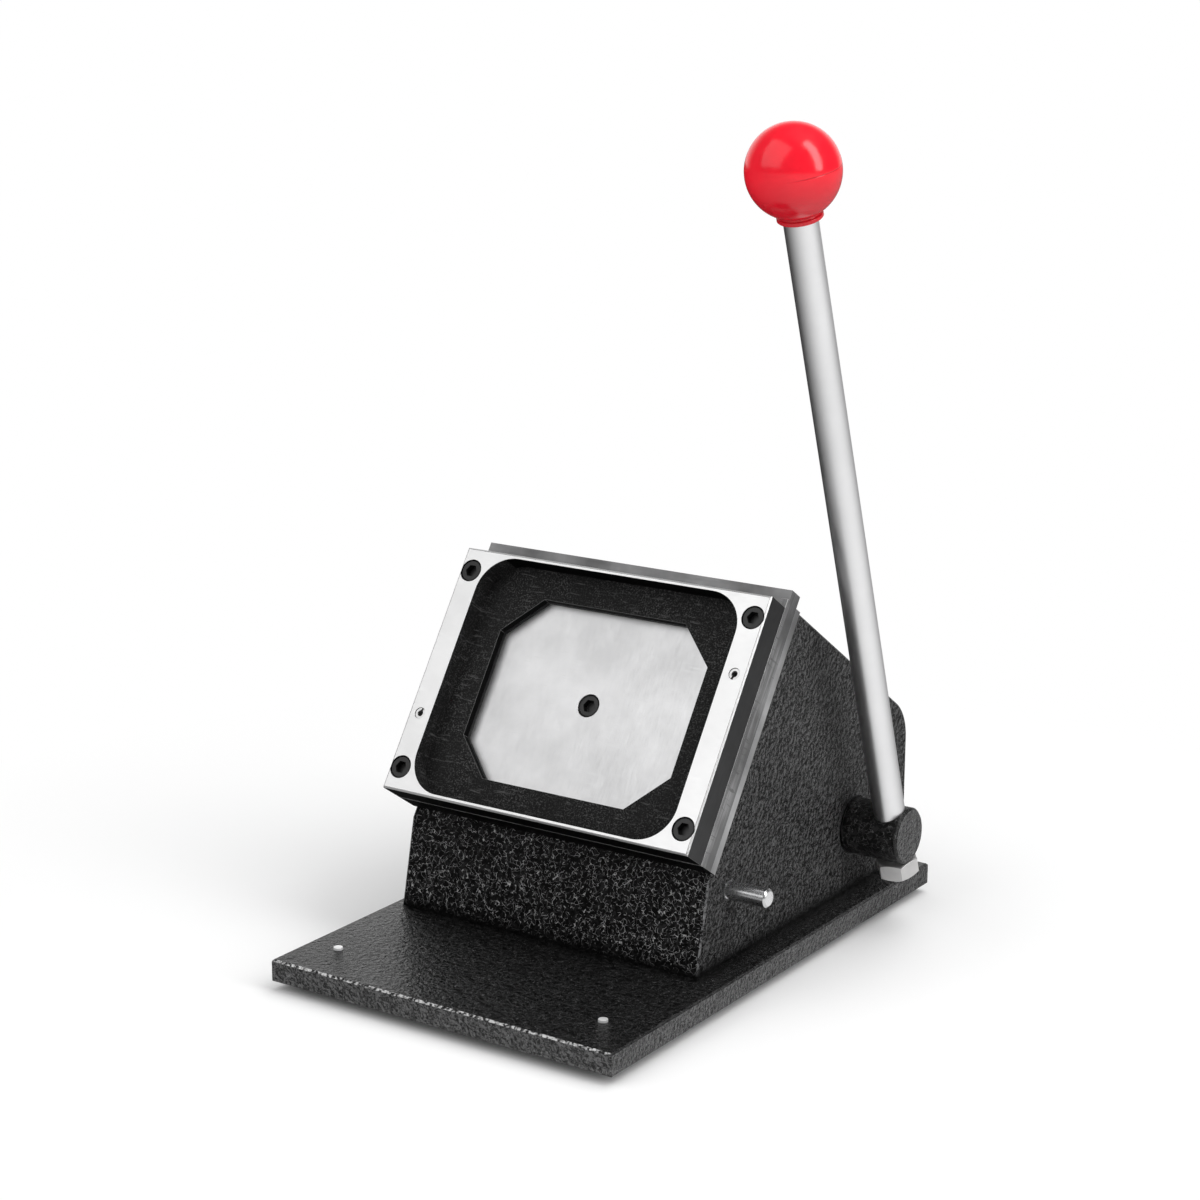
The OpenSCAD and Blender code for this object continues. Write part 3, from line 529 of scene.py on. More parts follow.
@dataclass(frozen=True)
class Steel(Finish):
    """Bare or oiled steel with its machining lines."""

    lines: float = 2600.0
    way: Turn = Turn.EVEN
    depth: float = 0.00001
    cloud: float = 0.12
    scratch: float = 0.1
    streak: float = 0.0
    bright_edge: float = 0.5

    EDGE_COLOUR = grey(0.8)
    STREAK_SHADE = 0.25

    def dress(self, tree: Tree, shader: Node) -> None:
        """Clouds and scratches the colour, varies the gloss and draws the lines."""
        along, place = self.vector(tree, self.way), self.vector(tree)
        grain = GRAIN.place(tree, vector=along, place=place, lines=self.lines)
        dark = shaded(self.colour, 1.0 - self.cloud * 2.0)
        light = shaded(self.colour, 1.0 + self.cloud)
        clouded = tree.blend(tree.ranged(grain["Cloud"], 0.35, 0.65), dark, light)
        scored = tree.blend(tree.math("MULTIPLY", grain["Scratch"], self.scratch), clouded, dark)
        if self.streak:
            lined = tree.ranged(grain["Height"], 0.42, 0.58, self.streak, 0.0)
            scored = tree.blend(lined, scored, shaded(self.colour, self.STREAK_SHADE))
        edged = tree.blend(tree.math("MULTIPLY", self.wear_and_highlight(tree), self.bright_edge), scored, self.EDGE_COLOUR)
        gloss = tree.ranged(grain["Height"], 0.3, 0.7, self.rough - 0.05, self.rough + 0.07)
        self.apply(tree, shader, edged, gloss, grain["Height"], self.depth)


@dataclass(frozen=True)
class Gritty(Finish):
    """A dark etched or blackened surface with sandy specks."""

    grit: float = 900.0
    speck_colour: Colour = grey(0.16)
    share: float = 0.6
    scratch: float = 0.0
    depth: float = 0.00005

    EDGE_COLOUR = grey(0.45)
    SPAN = 0.06

    def dress(self, tree: Tree, shader: Node) -> None:
        """Sprinkles specks over smears, and roughens both."""
        place = self.vector(tree)
        sand = SPECKLE.place(tree, vector=place, grit=self.grit)
        grain = GRAIN.place(tree, vector=place, place=place)
        spread = tree.ranged(sand["Smear"], 0.0, 1.0, self.share * 0.35, self.share)
        specked = tree.blend(tree.math("MULTIPLY", sand["Speck"], spread), self.colour, self.speck_colour)
        scored = tree.blend(tree.math("MULTIPLY", grain["Scratch"], self.scratch), specked, self.speck_colour)
        edged = tree.blend(tree.math("MULTIPLY", self.wear_and_highlight(tree), 0.35), scored, self.EDGE_COLOUR)
        gloss = tree.ranged(sand["Smear"], 0.0, 1.0, self.rough - self.SPAN, self.rough + self.SPAN)
        self.apply(tree, shader, edged, gloss, sand["Speck"], self.depth)


@dataclass(frozen=True)
class Moulded(Finish):
    """Glossy moulded plastic with a parting line on one side and painted shade on its lower half."""

    centre: Point = (0.0, 0.0, 0.0)
    parting: Point = (0.0, 0.0, 1.0)
    flashed: Point = (0.83, 0.56, 0.0)

    LINE = (0.00008, 0.00028)
    TRIM = (-0.004, 0.004)
    # Span about the parting plane over which the painted shade of the lower half sets in
    PAINTED_LOWER_SHADE = (-0.011, 0.002)
    RELIEF = 0.00008

    def dress(self, tree: Tree, shader: Node) -> None:
        """Ripples the gloss, presses a hairline round the mould's parting plane and darkens the lower half as
        painted shade.
        """
        place = self.vector(tree)
        offset = tree.vector_math("SUBTRACT", place, self.centre)
        plane = tree.vector_math("DOT_PRODUCT", offset, self.parting)
        beside = tree.vector_math("DOT_PRODUCT", offset, self.flashed)
        trimmed = tree.ranged(beside, *self.TRIM, 1.0, 0.0)
        line = tree.math("MAXIMUM", tree.ranged(tree.math("ABSOLUTE", plane), *self.LINE), trimmed)
        ripple = tree.noise(place, 120.0, 2.0)
        height = tree.math("ADD", line, tree.math("MULTIPLY", ripple, 0.5))
        shade = tree.blend(tree.ranged(ripple, 0.3, 0.7), shaded(self.colour, 0.93), self.colour)
        # Below the parting plane the red darkens: painted shade on the ball's lower half
        deep = tree.blend(tree.ranged(plane, *self.PAINTED_LOWER_SHADE, 1.0, 0.0), shade, shaded(self.colour, 0.62))
        lined = tree.blend(tree.ranged(line, 0.0, 1.0, 0.45, 0.0), deep, shaded(self.colour, 0.35))
        gloss = tree.ranged(tree.noise(place, 300.0, 3.0), 0.3, 0.7, self.rough - 0.03, self.rough + 0.04)
        self.apply(tree, shader, lined, gloss, height, self.RELIEF)


# The five hammer paints are one paint in lit and shaded copies, picked by which way the faces look: painted
# light. The front's pale veins are painted glints; the housing's sides, the base's sides and the hub's end
# take lit copies with painted light on the slopes; the base top and the hub's sides take darker copies. The
# base's pale front bevel is a painted highlight with some wear.
PAINT = HammerPaint(
    "hammer_paint_black", grey(0.001), 0.3, shine=0.08, ridge_and_lit_slope_colour=grey(0.019, 0.0192),
    vein_and_glint_colour=grey(0.62, 0.622),
)
PAINT_SIDE_LIT = HammerPaint(
    "hammer_paint_side", grey(0.0005), 0.14, shine=0.14, depth=0.0013, ridge_and_lit_slope_colour=grey(0.105, 0.106),
    vein_and_glint_colour=grey(0.11), toned="PaintedLitSlopes",
)
PAINT_EDGE_LIT = HammerPaint(
    "hammer_paint_edge", grey(0.012), 0.32, shine=0.3, depth=0.0006, ridge_and_lit_slope_colour=grey(0.13, 0.131),
    vein_and_glint_colour=grey(0.26), worn_and_highlight_colour=grey(0.3), fine=1.3, toned="PaintedLitSlopes",
)
PAINT_BASE = HammerPaint(
    "hammer_paint_base", grey(0.001), 0.13, shine=0.5, cells=620.0, depth=0.0013,
    ridge_and_lit_slope_colour=grey(0.014, 0.0142), vein_and_glint_colour=grey(0.13, 0.131), worn_and_highlight_colour=grey(0.66),
)
PAINT_HUB = HammerPaint(
    "hammer_paint_hub", grey(0.001), 0.34, shine=0.3, cells=520.0, depth=0.0003,
    ridge_and_lit_slope_colour=grey(0.025, 0.0255), vein_and_glint_colour=grey(0.14),
)
GROUND = Steel(
    "ground_face", grey(0.97), 0.42, 1.0, place=FACE, way=Turn.ALONG_X, lines=3200.0, cloud=0.02,
    scratch=0.05, depth=0.000003,
)
PUNCH_FACE = Steel(
    "punch_face", grey(0.84, 0.845), 0.45, 1.0, place=FACE, way=Turn.ALONG_Y, lines=2400.0, cloud=0.06,
    scratch=0.4, depth=0.000006,
)
# Black paint of the pocket, also laid on the plates' downward faces as painted shade
POCKET_BLACK_AND_SHADE = Gritty(
    "pocket_wall", grey(0.003), 0.6, shine=0.04, place=FACE, grit=1300.0, speck_colour=grey(0.008),
)
POCKET_FLOOR = Gritty(
    "pocket_floor", grey(0.01), 0.65, shine=0.1, place=FACE, grit=1500.0, speck_colour=grey(0.13),
    share=0.8, scratch=0.5,
)
PLATE_SIDE = Steel(
    "plate_side", grey(0.036, 0.037), 0.42, 0.7, shine=0.3, place=FACE, way=Turn.ALONG_Y, cloud=0.14,
    bright_edge=0.1,
)
GROUND_RIM = Steel(
    "ground_rim", grey(0.95), 0.35, 1.0, place=FACE, way=Turn.ALONG_Y, cloud=0.02, bright_edge=0.9,
)
EDGE_LINE = Steel("edge_line", grey(0.3), 0.5, 1.0, place=FACE, way=Turn.ALONG_Y, bright_edge=0.0)
BACK_GREY = Steel(
    "back_plate_grey", grey(0.28, 0.282), 0.5, 0.8, place=FACE, way=Turn.ALONG_X, lines=420.0, cloud=0.2,
    scratch=0.3, depth=0.00006,
)
BACK_SIDE = Steel(
    "back_plate_side", grey(0.36, 0.363), 0.5, 0.8, place=FACE, way=Turn.ALONG_Y, lines=420.0, cloud=0.22,
    scratch=0.5, streak=0.6, depth=0.00006,
)
BRIGHT = Steel(
    "bright_flat", grey(0.5, 0.505), 0.42, 1.0, place=FACE, way=Turn.ALONG_Y, lines=700.0, cloud=0.2,
    depth=0.00003,
)
PIN_WHITE = Steel("spring_pin", grey(0.85), 0.4, 1.0, place=FACE, cloud=0.05)
ROD_STEEL = Steel(
    "rod_steel", grey(0.87, 0.875), 0.36, 1.0, place=LEVER, way=Turn.ROUND_Z, lines=1500.0, cloud=0.02,
    scratch=0.1, depth=0.000002,
)
PIN_STEEL = Steel("pin_steel", grey(0.74, 0.75), 0.26, 1.0, way=Turn.ALONG_Y, cloud=0.05)
ZINC = Steel("zinc_grey", (0.7, 0.692, 0.688), 0.42, 0.75, cloud=0.1, lines=900.0, depth=0.00002)
SCREW_TIP = Steel("screw_tip", grey(0.9), 0.45, 0.2, cloud=0.3, lines=900.0, depth=0.0001)
BLACKENED = Steel(
    "black_oxide", grey(0.02, 0.021), 0.42, 0.75, cloud=0.25, lines=1400.0, bright_edge=0.3, depth=0.00001,
)
MACHINED = Steel("machined_steel", grey(0.42, 0.44), 0.32, 1.0, cloud=0.12)
BRONZE = Steel("bearing_bronze", (0.6, 0.38, 0.17), 0.34, 1.0, cloud=0.14)
SPRING_STEEL = Steel("spring_steel", grey(0.2, 0.21), 0.38, 1.0, cloud=0.18)
RUBBER = Gritty("foot_rubber", grey(0.02), 0.75, grit=1400.0, speck_colour=grey(0.06))


# Mesh tools

# A face looks along an axis when its normal's share of it is over this
LOOKS = 0.7


class Maker:
    """Turns bmeshes into named pieces that ride on their bodies."""

    SHARP = math.radians(32.0)
    FLAT = math.radians(0.6)
    WELD = 0.000002
    SPUN_WELD = 0.00001

    @staticmethod
    def sharp(edge: BMEdge) -> bool:
        """Tells an edge where two faces meet at a clear angle.

        Args:
            edge: One of a mesh's edges.

        Returns:
            True where it is sharp.
        """
        return len(edge.link_faces) == 2 and edge.calc_face_angle(0.0) > Maker.SHARP

    @staticmethod
    def piece(
        name: str, work: BMesh, finishes: Sequence[Finish], body: Body, slot: str, node: str,
    ) -> bpy.types.Object:
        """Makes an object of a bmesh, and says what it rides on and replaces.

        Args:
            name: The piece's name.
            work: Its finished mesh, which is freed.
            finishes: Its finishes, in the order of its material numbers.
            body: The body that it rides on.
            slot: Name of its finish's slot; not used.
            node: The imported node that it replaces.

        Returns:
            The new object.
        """
        for face in work.faces:
            face.smooth = True
        for edge in work.edges:
            edge.smooth = not Maker.sharp(edge)
        mesh = bpy.data.meshes.new(name)
        work.to_mesh(mesh)
        work.free()
        made = bpy.data.objects.new(name, mesh)
        bpy.context.scene.collection.objects.link(made)
        even = made.modifiers.new("flat_faces_stay_flat", "WEIGHTED_NORMAL")
        even.keep_sharp = True
        for finish in finishes:
            mesh.materials.append(finish.material())
        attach(made, body.value)
        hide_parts(node)
        LOG.info("%s: %d faces, rides on %s", name, len(mesh.polygons), body.value)
        return made

    @staticmethod
    def copied(node: str) -> BMesh:
        """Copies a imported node's mesh, merges it and joins its flat triangles.

        Args:
            node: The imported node's name.

        Returns:
            The clean mesh.
        """
        work = bmesh.new()
        work.from_mesh(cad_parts[node].data)
        bmesh.ops.remove_doubles(work, verts=work.verts, dist=Maker.WELD)
        bmesh.ops.dissolve_limit(
            work, angle_limit=Maker.FLAT, verts=work.verts, edges=work.edges, delimit=set(),
        )
        return work

    @staticmethod
    def rounded(work: BMesh, width: float, segments: int = 2, wanted: EdgeTest | None = None) -> None:
        """Rounds the sharp edges of a mesh and marks the new faces as edges.

        Args:
            work: The mesh.
            width: Width of the rounding in millimetres.
            segments: Faces across it.
            wanted: Says which sharp edges are rounded, or None for all.
        """
        layer = work.faces.layers.float.get(WEAR_AND_HIGHLIGHT) or work.faces.layers.float.new(WEAR_AND_HIGHLIGHT)
        edges = [e for e in work.edges if Maker.sharp(e) and (wanted is None or wanted(e))]
        done = bmesh.ops.bevel(
            work, geom=edges, offset=width * MM, offset_type="OFFSET", segments=segments, profile=0.5,
            affect="EDGES", material=-1, clamp_overlap=True,
        )
        for face in done["faces"]:
            face[layer] = 1.0

    @staticmethod
    def softened(
        body: Body, slot: str, finish: Finish, edge: float, segments: int, *nodes: str,
        others: Sequence[Finish] = (), pick: FacePick = lambda face: 0,
    ) -> None:
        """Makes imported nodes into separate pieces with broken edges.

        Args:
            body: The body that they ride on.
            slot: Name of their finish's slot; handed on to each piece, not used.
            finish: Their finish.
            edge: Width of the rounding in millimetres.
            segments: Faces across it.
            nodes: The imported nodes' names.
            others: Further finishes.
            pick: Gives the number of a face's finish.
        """
        for node in nodes:
            work = Maker.copied(node)
            Maker.rounded(work, edge, segments)
            for face in work.faces:
                face.material_index = int(pick(face))
            Maker.piece(f"{node}_piece", work, [finish, *others], body, slot, node)

    @staticmethod
    def turned(profile: Profile, place: Matrix, steps: int) -> BMesh:
        """Spins a profile of radius and height, in millimetres, about its own Z.

        Args:
            profile: Points from one end of the axis to the other.
            place: Matrix from the profile's frame to the model's.
            steps: Faces round it.

        Returns:
            The closed mesh.
        """
        work = bmesh.new()
        verts = [work.verts.new((r * MM, 0.0, z * MM)) for r, z in profile]
        edges = [work.edges.new(pair) for pair in zip(verts, verts[1:])]
        bmesh.ops.spin(
            work, geom=verts + edges, cent=(0.0, 0.0, 0.0), axis=(0.0, 0.0, 1.0), angle=math.tau, steps=steps,
            use_merge=True, use_duplicate=False,
        )
        bmesh.ops.remove_doubles(work, verts=work.verts, dist=Maker.SPUN_WELD)
        bmesh.ops.transform(work, matrix=place, verts=work.verts)
        bmesh.ops.recalc_face_normals(work, faces=work.faces)
        return work


# Sub-assemblies

@dataclass
class Stand:
    """Base plate, feet and painted housing."""

    base_edge: float = 0.5
    housing_edge: float = 0.7
    left: float = -92.5
    right: float = 59.5
    bottom: float = 13.5
    hole_places: tuple[float, float] = (-23.8, 82.0988)
    slack: float = 0.05
    flat: float = 0.95
    upright: float = 0.2

    def build(self) -> None:
        """Builds every piece of the stand."""
        self.build_base()
        Maker.softened(Body.STAND, "foot_rubber", RUBBER, 0.5, 2, "rubber_feet")
        Maker.softened(Body.STAND, "zinc_steel", SCREW_TIP, 0.3, 2, "foot_screws")
        Maker.softened(Body.STAND, "zinc_steel", ZINC, 0.2, 1, "body_screws")
        self.build_housing()

    def build_base(self) -> None:
        """Builds the base plate, with its sides apart and a painted highlight, with some wear, on only the
        front's upper bevel.
        """
        work = Maker.copied("base_plate")
        Maker.rounded(work, self.base_edge, 3)
        layer = work.faces.layers.float[WEAR_AND_HIGHLIGHT]
        for face in work.faces:
            normal = face.normal
            # Only the bevels that look up and forward keep the edge mark: a painted highlight with some wear
            face[layer] = float(self.upright < normal.z < self.flat and normal.y < -self.upright)
            # The upright sides take the lit copy of the paint, with painted light on its slopes
            face.material_index = int(abs(normal.z) < self.upright)
        finishes = [PAINT_BASE, PAINT_EDGE_LIT]
        Maker.piece("base_plate_piece", work, finishes, Body.STAND, "hammertone", "base_plate")

    def outside(self, edge: BMEdge) -> bool:
        """Tells an edge of the housing's outer side planes from its inner ones.

        Args:
            edge: One of the housing's edges.

        Returns:
            True where both ends lie on a side plane and not on the base.
        """
        sides = (self.left, self.right)
        on_side = all(min(abs(v.co.x / MM - side) for side in sides) < self.slack for v in edge.verts)
        return on_side and any(v.co.z / MM > self.bottom + self.slack for v in edge.verts)

    def build_housing(self) -> None:
        """Builds the housing, with its outer edges rounded and its sides split at the holes."""
        work = Maker.copied("body_housing")
        for y in self.hole_places:
            everything = [*work.verts, *work.edges, *work.faces]
            bmesh.ops.bisect_plane(
                work, geom=everything, dist=0.000001, plane_co=(0.0, y * MM, 0.0), plane_no=(0.0, 1.0, 0.0),
            )
        spare = [
            e for e in work.edges
            if self.outside(e) and len(e.link_faces) == 2 and e.calc_face_angle(1.0) < 0.01
            and not any(all(abs(v.co.y / MM - y) < 0.01 for v in e.verts) for y in self.hole_places)
        ]
        bmesh.ops.dissolve_edges(work, edges=spare, use_verts=False, use_face_split=False)
        Maker.rounded(work, self.housing_edge, 3, self.outside)
        for face in work.faces:
            # The sides take the lit copy of the paint, with painted light on its slopes
            face.material_index = int(abs(face.normal.x) > LOOKS)
        Maker.piece("housing_shell", work, [PAINT, PAINT_SIDE_LIT], Body.STAND, "hammertone", "body_housing")


@dataclass
class DieStack:
    """Plates, spacers, screws and dowels on the sloping face."""

    face_depth: float = 0.75
    pocket_depth: float = 9.5
    half_w: float = 77.5
    half_h: float = 56.5
    inner_w: float = 74.5
    inner_h: float = 55.6
    rim: float = 0.6

    def build(self) -> None:
        """Builds every piece of the stack."""
        self.build_flats()
        Maker.softened(Body.STAND, "black_oxide", BLACKENED, 0.4, 2, "die_screws")
        Maker.softened(Body.STAND, "bright_steel", PIN_WHITE, 0.2, 2, "die_dowels")
        self.build_die_plate()

    def build_flats(self) -> None:
        """Builds the plates, with their lower sides near black as painted shade, and the spacers, with their
        upper ends bright.
        """
        up = FACE.matrix().to_3x3() @ Vector((0.0, 1.0, 0.0))
        for node, slot, finish, side in (
            ("mounting_frame", "bright_steel", BRIGHT, BRIGHT),
            ("back_plate", "grey_steel", BACK_GREY, BACK_SIDE),
        ):
            Maker.softened(
                Body.STAND, slot, finish, 0.35, 2, node, others=[POCKET_BLACK_AND_SHADE, side],
                # Faces that look down the sloping face take the near-black finish: painted shade under the
                # plates
                pick=lambda face: 1 if face.normal.dot(up) < -LOOKS else 2 * (abs(face.normal.x) > LOOKS),
            )
        Maker.softened(
            Body.STAND, "bright_steel", BACK_SIDE, 0.15, 1, "left_spacer", "right_spacer", others=[GROUND],
            pick=lambda face: face.normal.dot(up) > 0.5,
        )

    def build_die_plate(self) -> None:
        """Builds the die plate, with its ground face, black pocket and grey sides apart, the pocket's walls
        that look toward +x paler as painted light and its lower side near black as painted shade.
        """
        work = Maker.copied("die_plate")
        to_face = FACE.matrix().inverted()
        turn = to_face.to_3x3()
        Maker.rounded(work, self.rim, 3, lambda edge: self.on_rim(to_face, edge))
        Maker.rounded(work, 0.18, 2)
        layer = work.faces.layers.float[WEAR_AND_HIGHLIGHT]
        ground, wall, floor, side, rim, line = range(6)
        for face in work.faces:
            centre = to_face @ face.calc_center_median() / MM
            normal = turn @ face.normal
            depth = -centre.z
            inside = abs(centre.x) < self.inner_w and abs(centre.y) < self.inner_h
            if inside and self.face_depth < depth < self.pocket_depth:
                face[layer] = 0.0
            outline = depth < self.rim and not inside
            # Pocket walls that look toward +x take the paler floor finish instead of the black: painted light
            # on the lit walls
            lit_wall = normal.x > 0.35 and depth < self.pocket_depth
            on_floor = normal.z > 0.9 and abs(depth - self.pocket_depth) < 0.1
            if outline and normal.z < 0.85:
                face.material_index = rim if normal.z > 0.5 else side
            elif outline and normal.z < 0.99:
                face.material_index = line
            elif depth < self.face_depth:
                face.material_index = ground
            elif inside and (lit_wall or on_floor):
                face.material_index = floor
            # Faces that look down the sloping face take the pocket's black too: painted shade under the plate
            elif inside or normal.y < -LOOKS:
                face.material_index = wall
            else:
                face.material_index = side
        finishes = [GROUND, POCKET_BLACK_AND_SHADE, POCKET_FLOOR, PLATE_SIDE, GROUND_RIM, EDGE_LINE]
        Maker.piece("die_plate_piece", work, finishes, Body.STAND, "ground_steel", "die_plate")

    def on_rim(self, to_face: Matrix, edge: BMEdge) -> bool:
        """Tells the outer edge of the die plate's front face.

        Args:
            to_face: Matrix from the model's frame to the face's.
            edge: One of the plate's edges.

        Returns:
            True where both ends lie on the front face's outline.
        """
        ends = [to_face @ vert.co / MM for vert in edge.verts]
        past = (max(abs(e.x) - self.half_w, abs(e.y) - self.half_h) for e in ends)
        return all(abs(e.z) < 0.02 for e in ends) and all(reach > -0.02 for reach in past)


@dataclass
class RamDrive:
    """Punch, ram, bushes and return spring."""

    wire: float = 2.0
    coil_r: float = 19.86
    curls: int = 8
    start: float = 59.1
    end: float = 101.8
    travel: float = 9.1

    def build(self) -> None:
        """Builds every piece of the ram and its guide."""
        Maker.softened(Body.RAM, "ground_steel", PUNCH_FACE, 0.12, 1, "punch_plate")
        Maker.softened(Body.RAM, "black_oxide", BLACKENED, 0.4, 2, "punch_screw")
        Maker.softened(Body.RAM, "bright_steel", BRIGHT, 0.15, 1, "punch_dowels")
        Maker.softened(Body.RAM, "machine_steel", MACHINED, 0.15, 1, "ram", "spring_collar", "follower_pad")
        Maker.softened(Body.RAM, "black_oxide", BLACKENED, 0.15, 1, "ram_snap_ring", "follower_screw")
        Maker.softened(Body.STAND, "machine_steel", MACHINED, 0.15, 1, "ram_guide_block")
        Maker.softened(Body.STAND, "bronze", BRONZE, 0.15, 1, "guide_bush")
        self.build_spring()

    def build_spring(self) -> None:
        """Winds the return spring at one length and gives it a mesh of its own; the real spring shortens as
        the ram goes out.
        """
        steps_a_curl, sides = 24, 10
        count = self.curls * steps_a_curl
        work = bmesh.new()
        ring = bmesh.ops.create_circle(work, segments=sides, radius=self.wire * MM, cap_ends=True)["verts"]
        bmesh.ops.rotate(work, verts=ring, cent=(0, 0, 0), matrix=Matrix.Rotation(math.radians(90.0), 3, "X"))
        bmesh.ops.translate(work, verts=ring, vec=(self.coil_r * MM, 0.0, -self.start * MM))
        climb = (self.end - self.start) * MM / count
        bmesh.ops.spin(
            work, geom=list(work.faces), cent=(0, 0, 0), axis=(0, 0, 1), dvec=(0, 0, -climb),
            angle=math.tau * self.curls, steps=count, use_merge=False, use_duplicate=False,
        )
        bmesh.ops.remove_doubles(work, verts=work.verts, dist=Maker.SPUN_WELD)
        bmesh.ops.transform(work, matrix=FACE.matrix(), verts=work.verts)
        bmesh.ops.recalc_face_normals(work, faces=work.faces)
        names = "spring_steel", "return_spring"
        spring = Maker.piece("return_spring_coil", work, [SPRING_STEEL], Body.STAND, *names)
        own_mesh(spring)


@dataclass
class CamShaft:
    """Cross shaft, cam, bushes, collar and the lever's stop pin."""

    pin_y: float = -23.8
    pin_z: float = 44.908
    pin_d: float = 8.0
    pin_left: float = 42.5
    pin_right: float = 78.7
    wall_x: float = 59.5
    painted: float = 2.0

    def build(self) -> None:
        """Builds every piece of the shaft and the stop."""
        plain = ("cross_shaft", "cam", "cam_key", "shaft_collar")
        Maker.softened(Body.LEVER, "machine_steel", MACHINED, 0.12, 1, *plain)
        Maker.softened(Body.LEVER, "black_oxide", BLACKENED, 0.12, 1, "cam_screw", "collar_screw")
        Maker.softened(Body.STAND, "bronze", BRONZE, 0.12, 1, "left_shaft_bush")
        Maker.softened(Body.STAND, "black_oxide", BLACKENED, 0.12, 1, "stop_pin_screw")
        Maker.softened(
            Body.STAND, "bronze", BRONZE, 0.12, 1, "right_shaft_bush", others=[PAINT_HUB],
            pick=lambda face: face.calc_center_median().x / MM > self.wall_x - self.painted,
        )
        self.build_stop_pin()

    def build_stop_pin(self) -> None:
        """Turns the stop pin, with a groove at the wall and a chamfered end."""
        r, length, wall = self.pin_d / 2, self.pin_right - self.pin_left, self.wall_x - self.pin_left
        profile = [
            (0, 0), (r - 0.3, 0), (r, 0.3), (r, wall + 0.1), (r - 0.5, wall + 0.35), (r - 0.5, wall + 1.1),
            (r, wall + 1.35), (r, length - 0.9), (r - 0.12, length - 0.72), (r - 0.75, length - 0.12),
            (r - 0.95, length), (0, length),
        ]
        foot = Vector((self.pin_left, self.pin_y, self.pin_z)) * MM
        place = Matrix.Translation(foot) @ Matrix.Rotation(math.radians(90.0), 4, "Y")
        work = Maker.turned(profile, place, 48)
        Maker.piece("stop_pin_bar", work, [PIN_STEEL], Body.STAND, "bright_steel", "stop_pin")


@dataclass
class Lever:
    """Hub, rod, nut and ball."""

    rod_r: float = 7.0
    stud_r: float = 5.0
    shoulder: float = 291.5
    stud_end: float = -24.0
    thread_from: float = -23.4
    thread_to: float = -12.6
    pitch: float = 1.25
    knob_z: float = 311.0
    ball_r: float = 19.0
    collar_r: float = 9.25
    collar_end: float = 19.5
    hole_r: float = 6.5
    hole_depth: float = 18.0

    def build(self) -> None:
        """Builds every piece of the lever."""
        # The hub's end, looking along +x toward the lamp, takes the lit copy of the paint: painted light
        Maker.softened(
            Body.LEVER, "hammertone", PAINT_HUB, 0.4, 3, "lever_hub", others=[PAINT_EDGE_LIT],
            pick=lambda face: face.normal.x > 0.9,
        )
        Maker.softened(Body.LEVER, "zinc_steel", ZINC, 0.25, 2, "lock_nut")
        Maker.softened(Body.LEVER, "bronze", BRONZE, 0.15, 1, "knob_insert")
        self.build_rod()
        self.build_ball()

    def build_rod(self) -> None:
        """Turns the rod, with a threaded lower stud and a rounded shoulder under the ball."""
        r, stud, crest = self.rod_r, self.stud_r, self.stud_r - 0.04
        profile = [(0.0, self.stud_end), (stud - 1.0, self.stud_end), (stud - 0.5, self.stud_end + 0.5)]
        for i in range(int((self.thread_to - self.thread_from) / self.pitch)):
            z = self.thread_from + i * self.pitch
            profile += [(stud - 0.62, z), (crest, z + 0.45 * self.pitch), (crest, z + 0.6 * self.pitch)]
        top = self.shoulder + 17.0
        profile += [
            (stud - 0.6, self.thread_to), (stud, self.thread_to + 0.6), (stud, 0.05), (r - 0.4, 0.05),
            (r, 0.45), (r, self.shoulder - 0.5), (r - 0.5, self.shoulder), (stud, self.shoulder),
            (stud, top - 0.5), (stud - 0.5, top), (0.0, top),
        ]
        work = Maker.turned(profile, LEVER.matrix(), 96)
        Maker.piece("lever_rod_bar", work, [ROD_STEEL], Body.LEVER, "bright_steel", "lever_rod")

    def build_ball(self) -> None:
        """Turns the ball with its short collar, which ends in a small rim."""
        meet = math.asin((self.collar_r - 0.7) / self.ball_r)
        arc = 56
        turns = [math.pi - i * (math.pi - meet) / arc for i in range(arc + 1)]
        ball = [(self.ball_r * math.sin(a), -self.ball_r * math.cos(a)) for a in turns]
        end, r, hole = -self.collar_end, self.collar_r, self.hole_r
        deep = end + self.hole_depth
        profile = [(0.0, ball[0][1])] + ball[1:] + [
            (r - 0.72, end + 2.2), (r - 0.6, end + 1.9), (r - 0.1, end + 1.6), (r, end + 1.35),
            (r, end + 0.3), (r - 0.3, end), (hole, end), (hole, deep), (0.0, deep),
        ]
        place = LEVER.matrix() @ Matrix.Translation((0.0, 0.0, self.knob_z * MM))
        work = Maker.turned(profile, place, 96)
        red = Moulded(
            "red_ball", (0.97, 0.01, 0.028), 0.17, centre=tuple(place.translation),
            parting=tuple(Vector((-0.081, -0.197, 0.977)).normalized()),
        )
        Maker.piece("ball_knob_shell", work, [red], Body.LEVER, "red_knob", "ball_knob")


# Studio

@dataclass(frozen=True)
class Softbox:
    """A soft rectangular lamp that looks at the object."""

    name: str
    at: Point
    wide: float
    high: float
    watts: float
    aim: Point = (0.0, 0.0, 0.13)
    mirrored: bool = True

    def build(self) -> None:
        """Makes the lamp."""
        data = bpy.data.lights.new(self.name, "AREA")
        data.shape = "RECTANGLE"
        data.size, data.size_y, data.energy = self.wide, self.high, self.watts
        lamp = bpy.data.objects.new(self.name, data)
        lamp.location = self.at
        lamp.rotation_euler = (Vector(self.aim) - Vector(self.at)).to_track_quat("-Z", "Y").to_euler()
        lamp.visible_camera = False
        lamp.visible_glossy = self.mirrored
        bpy.context.scene.collection.objects.link(lamp)


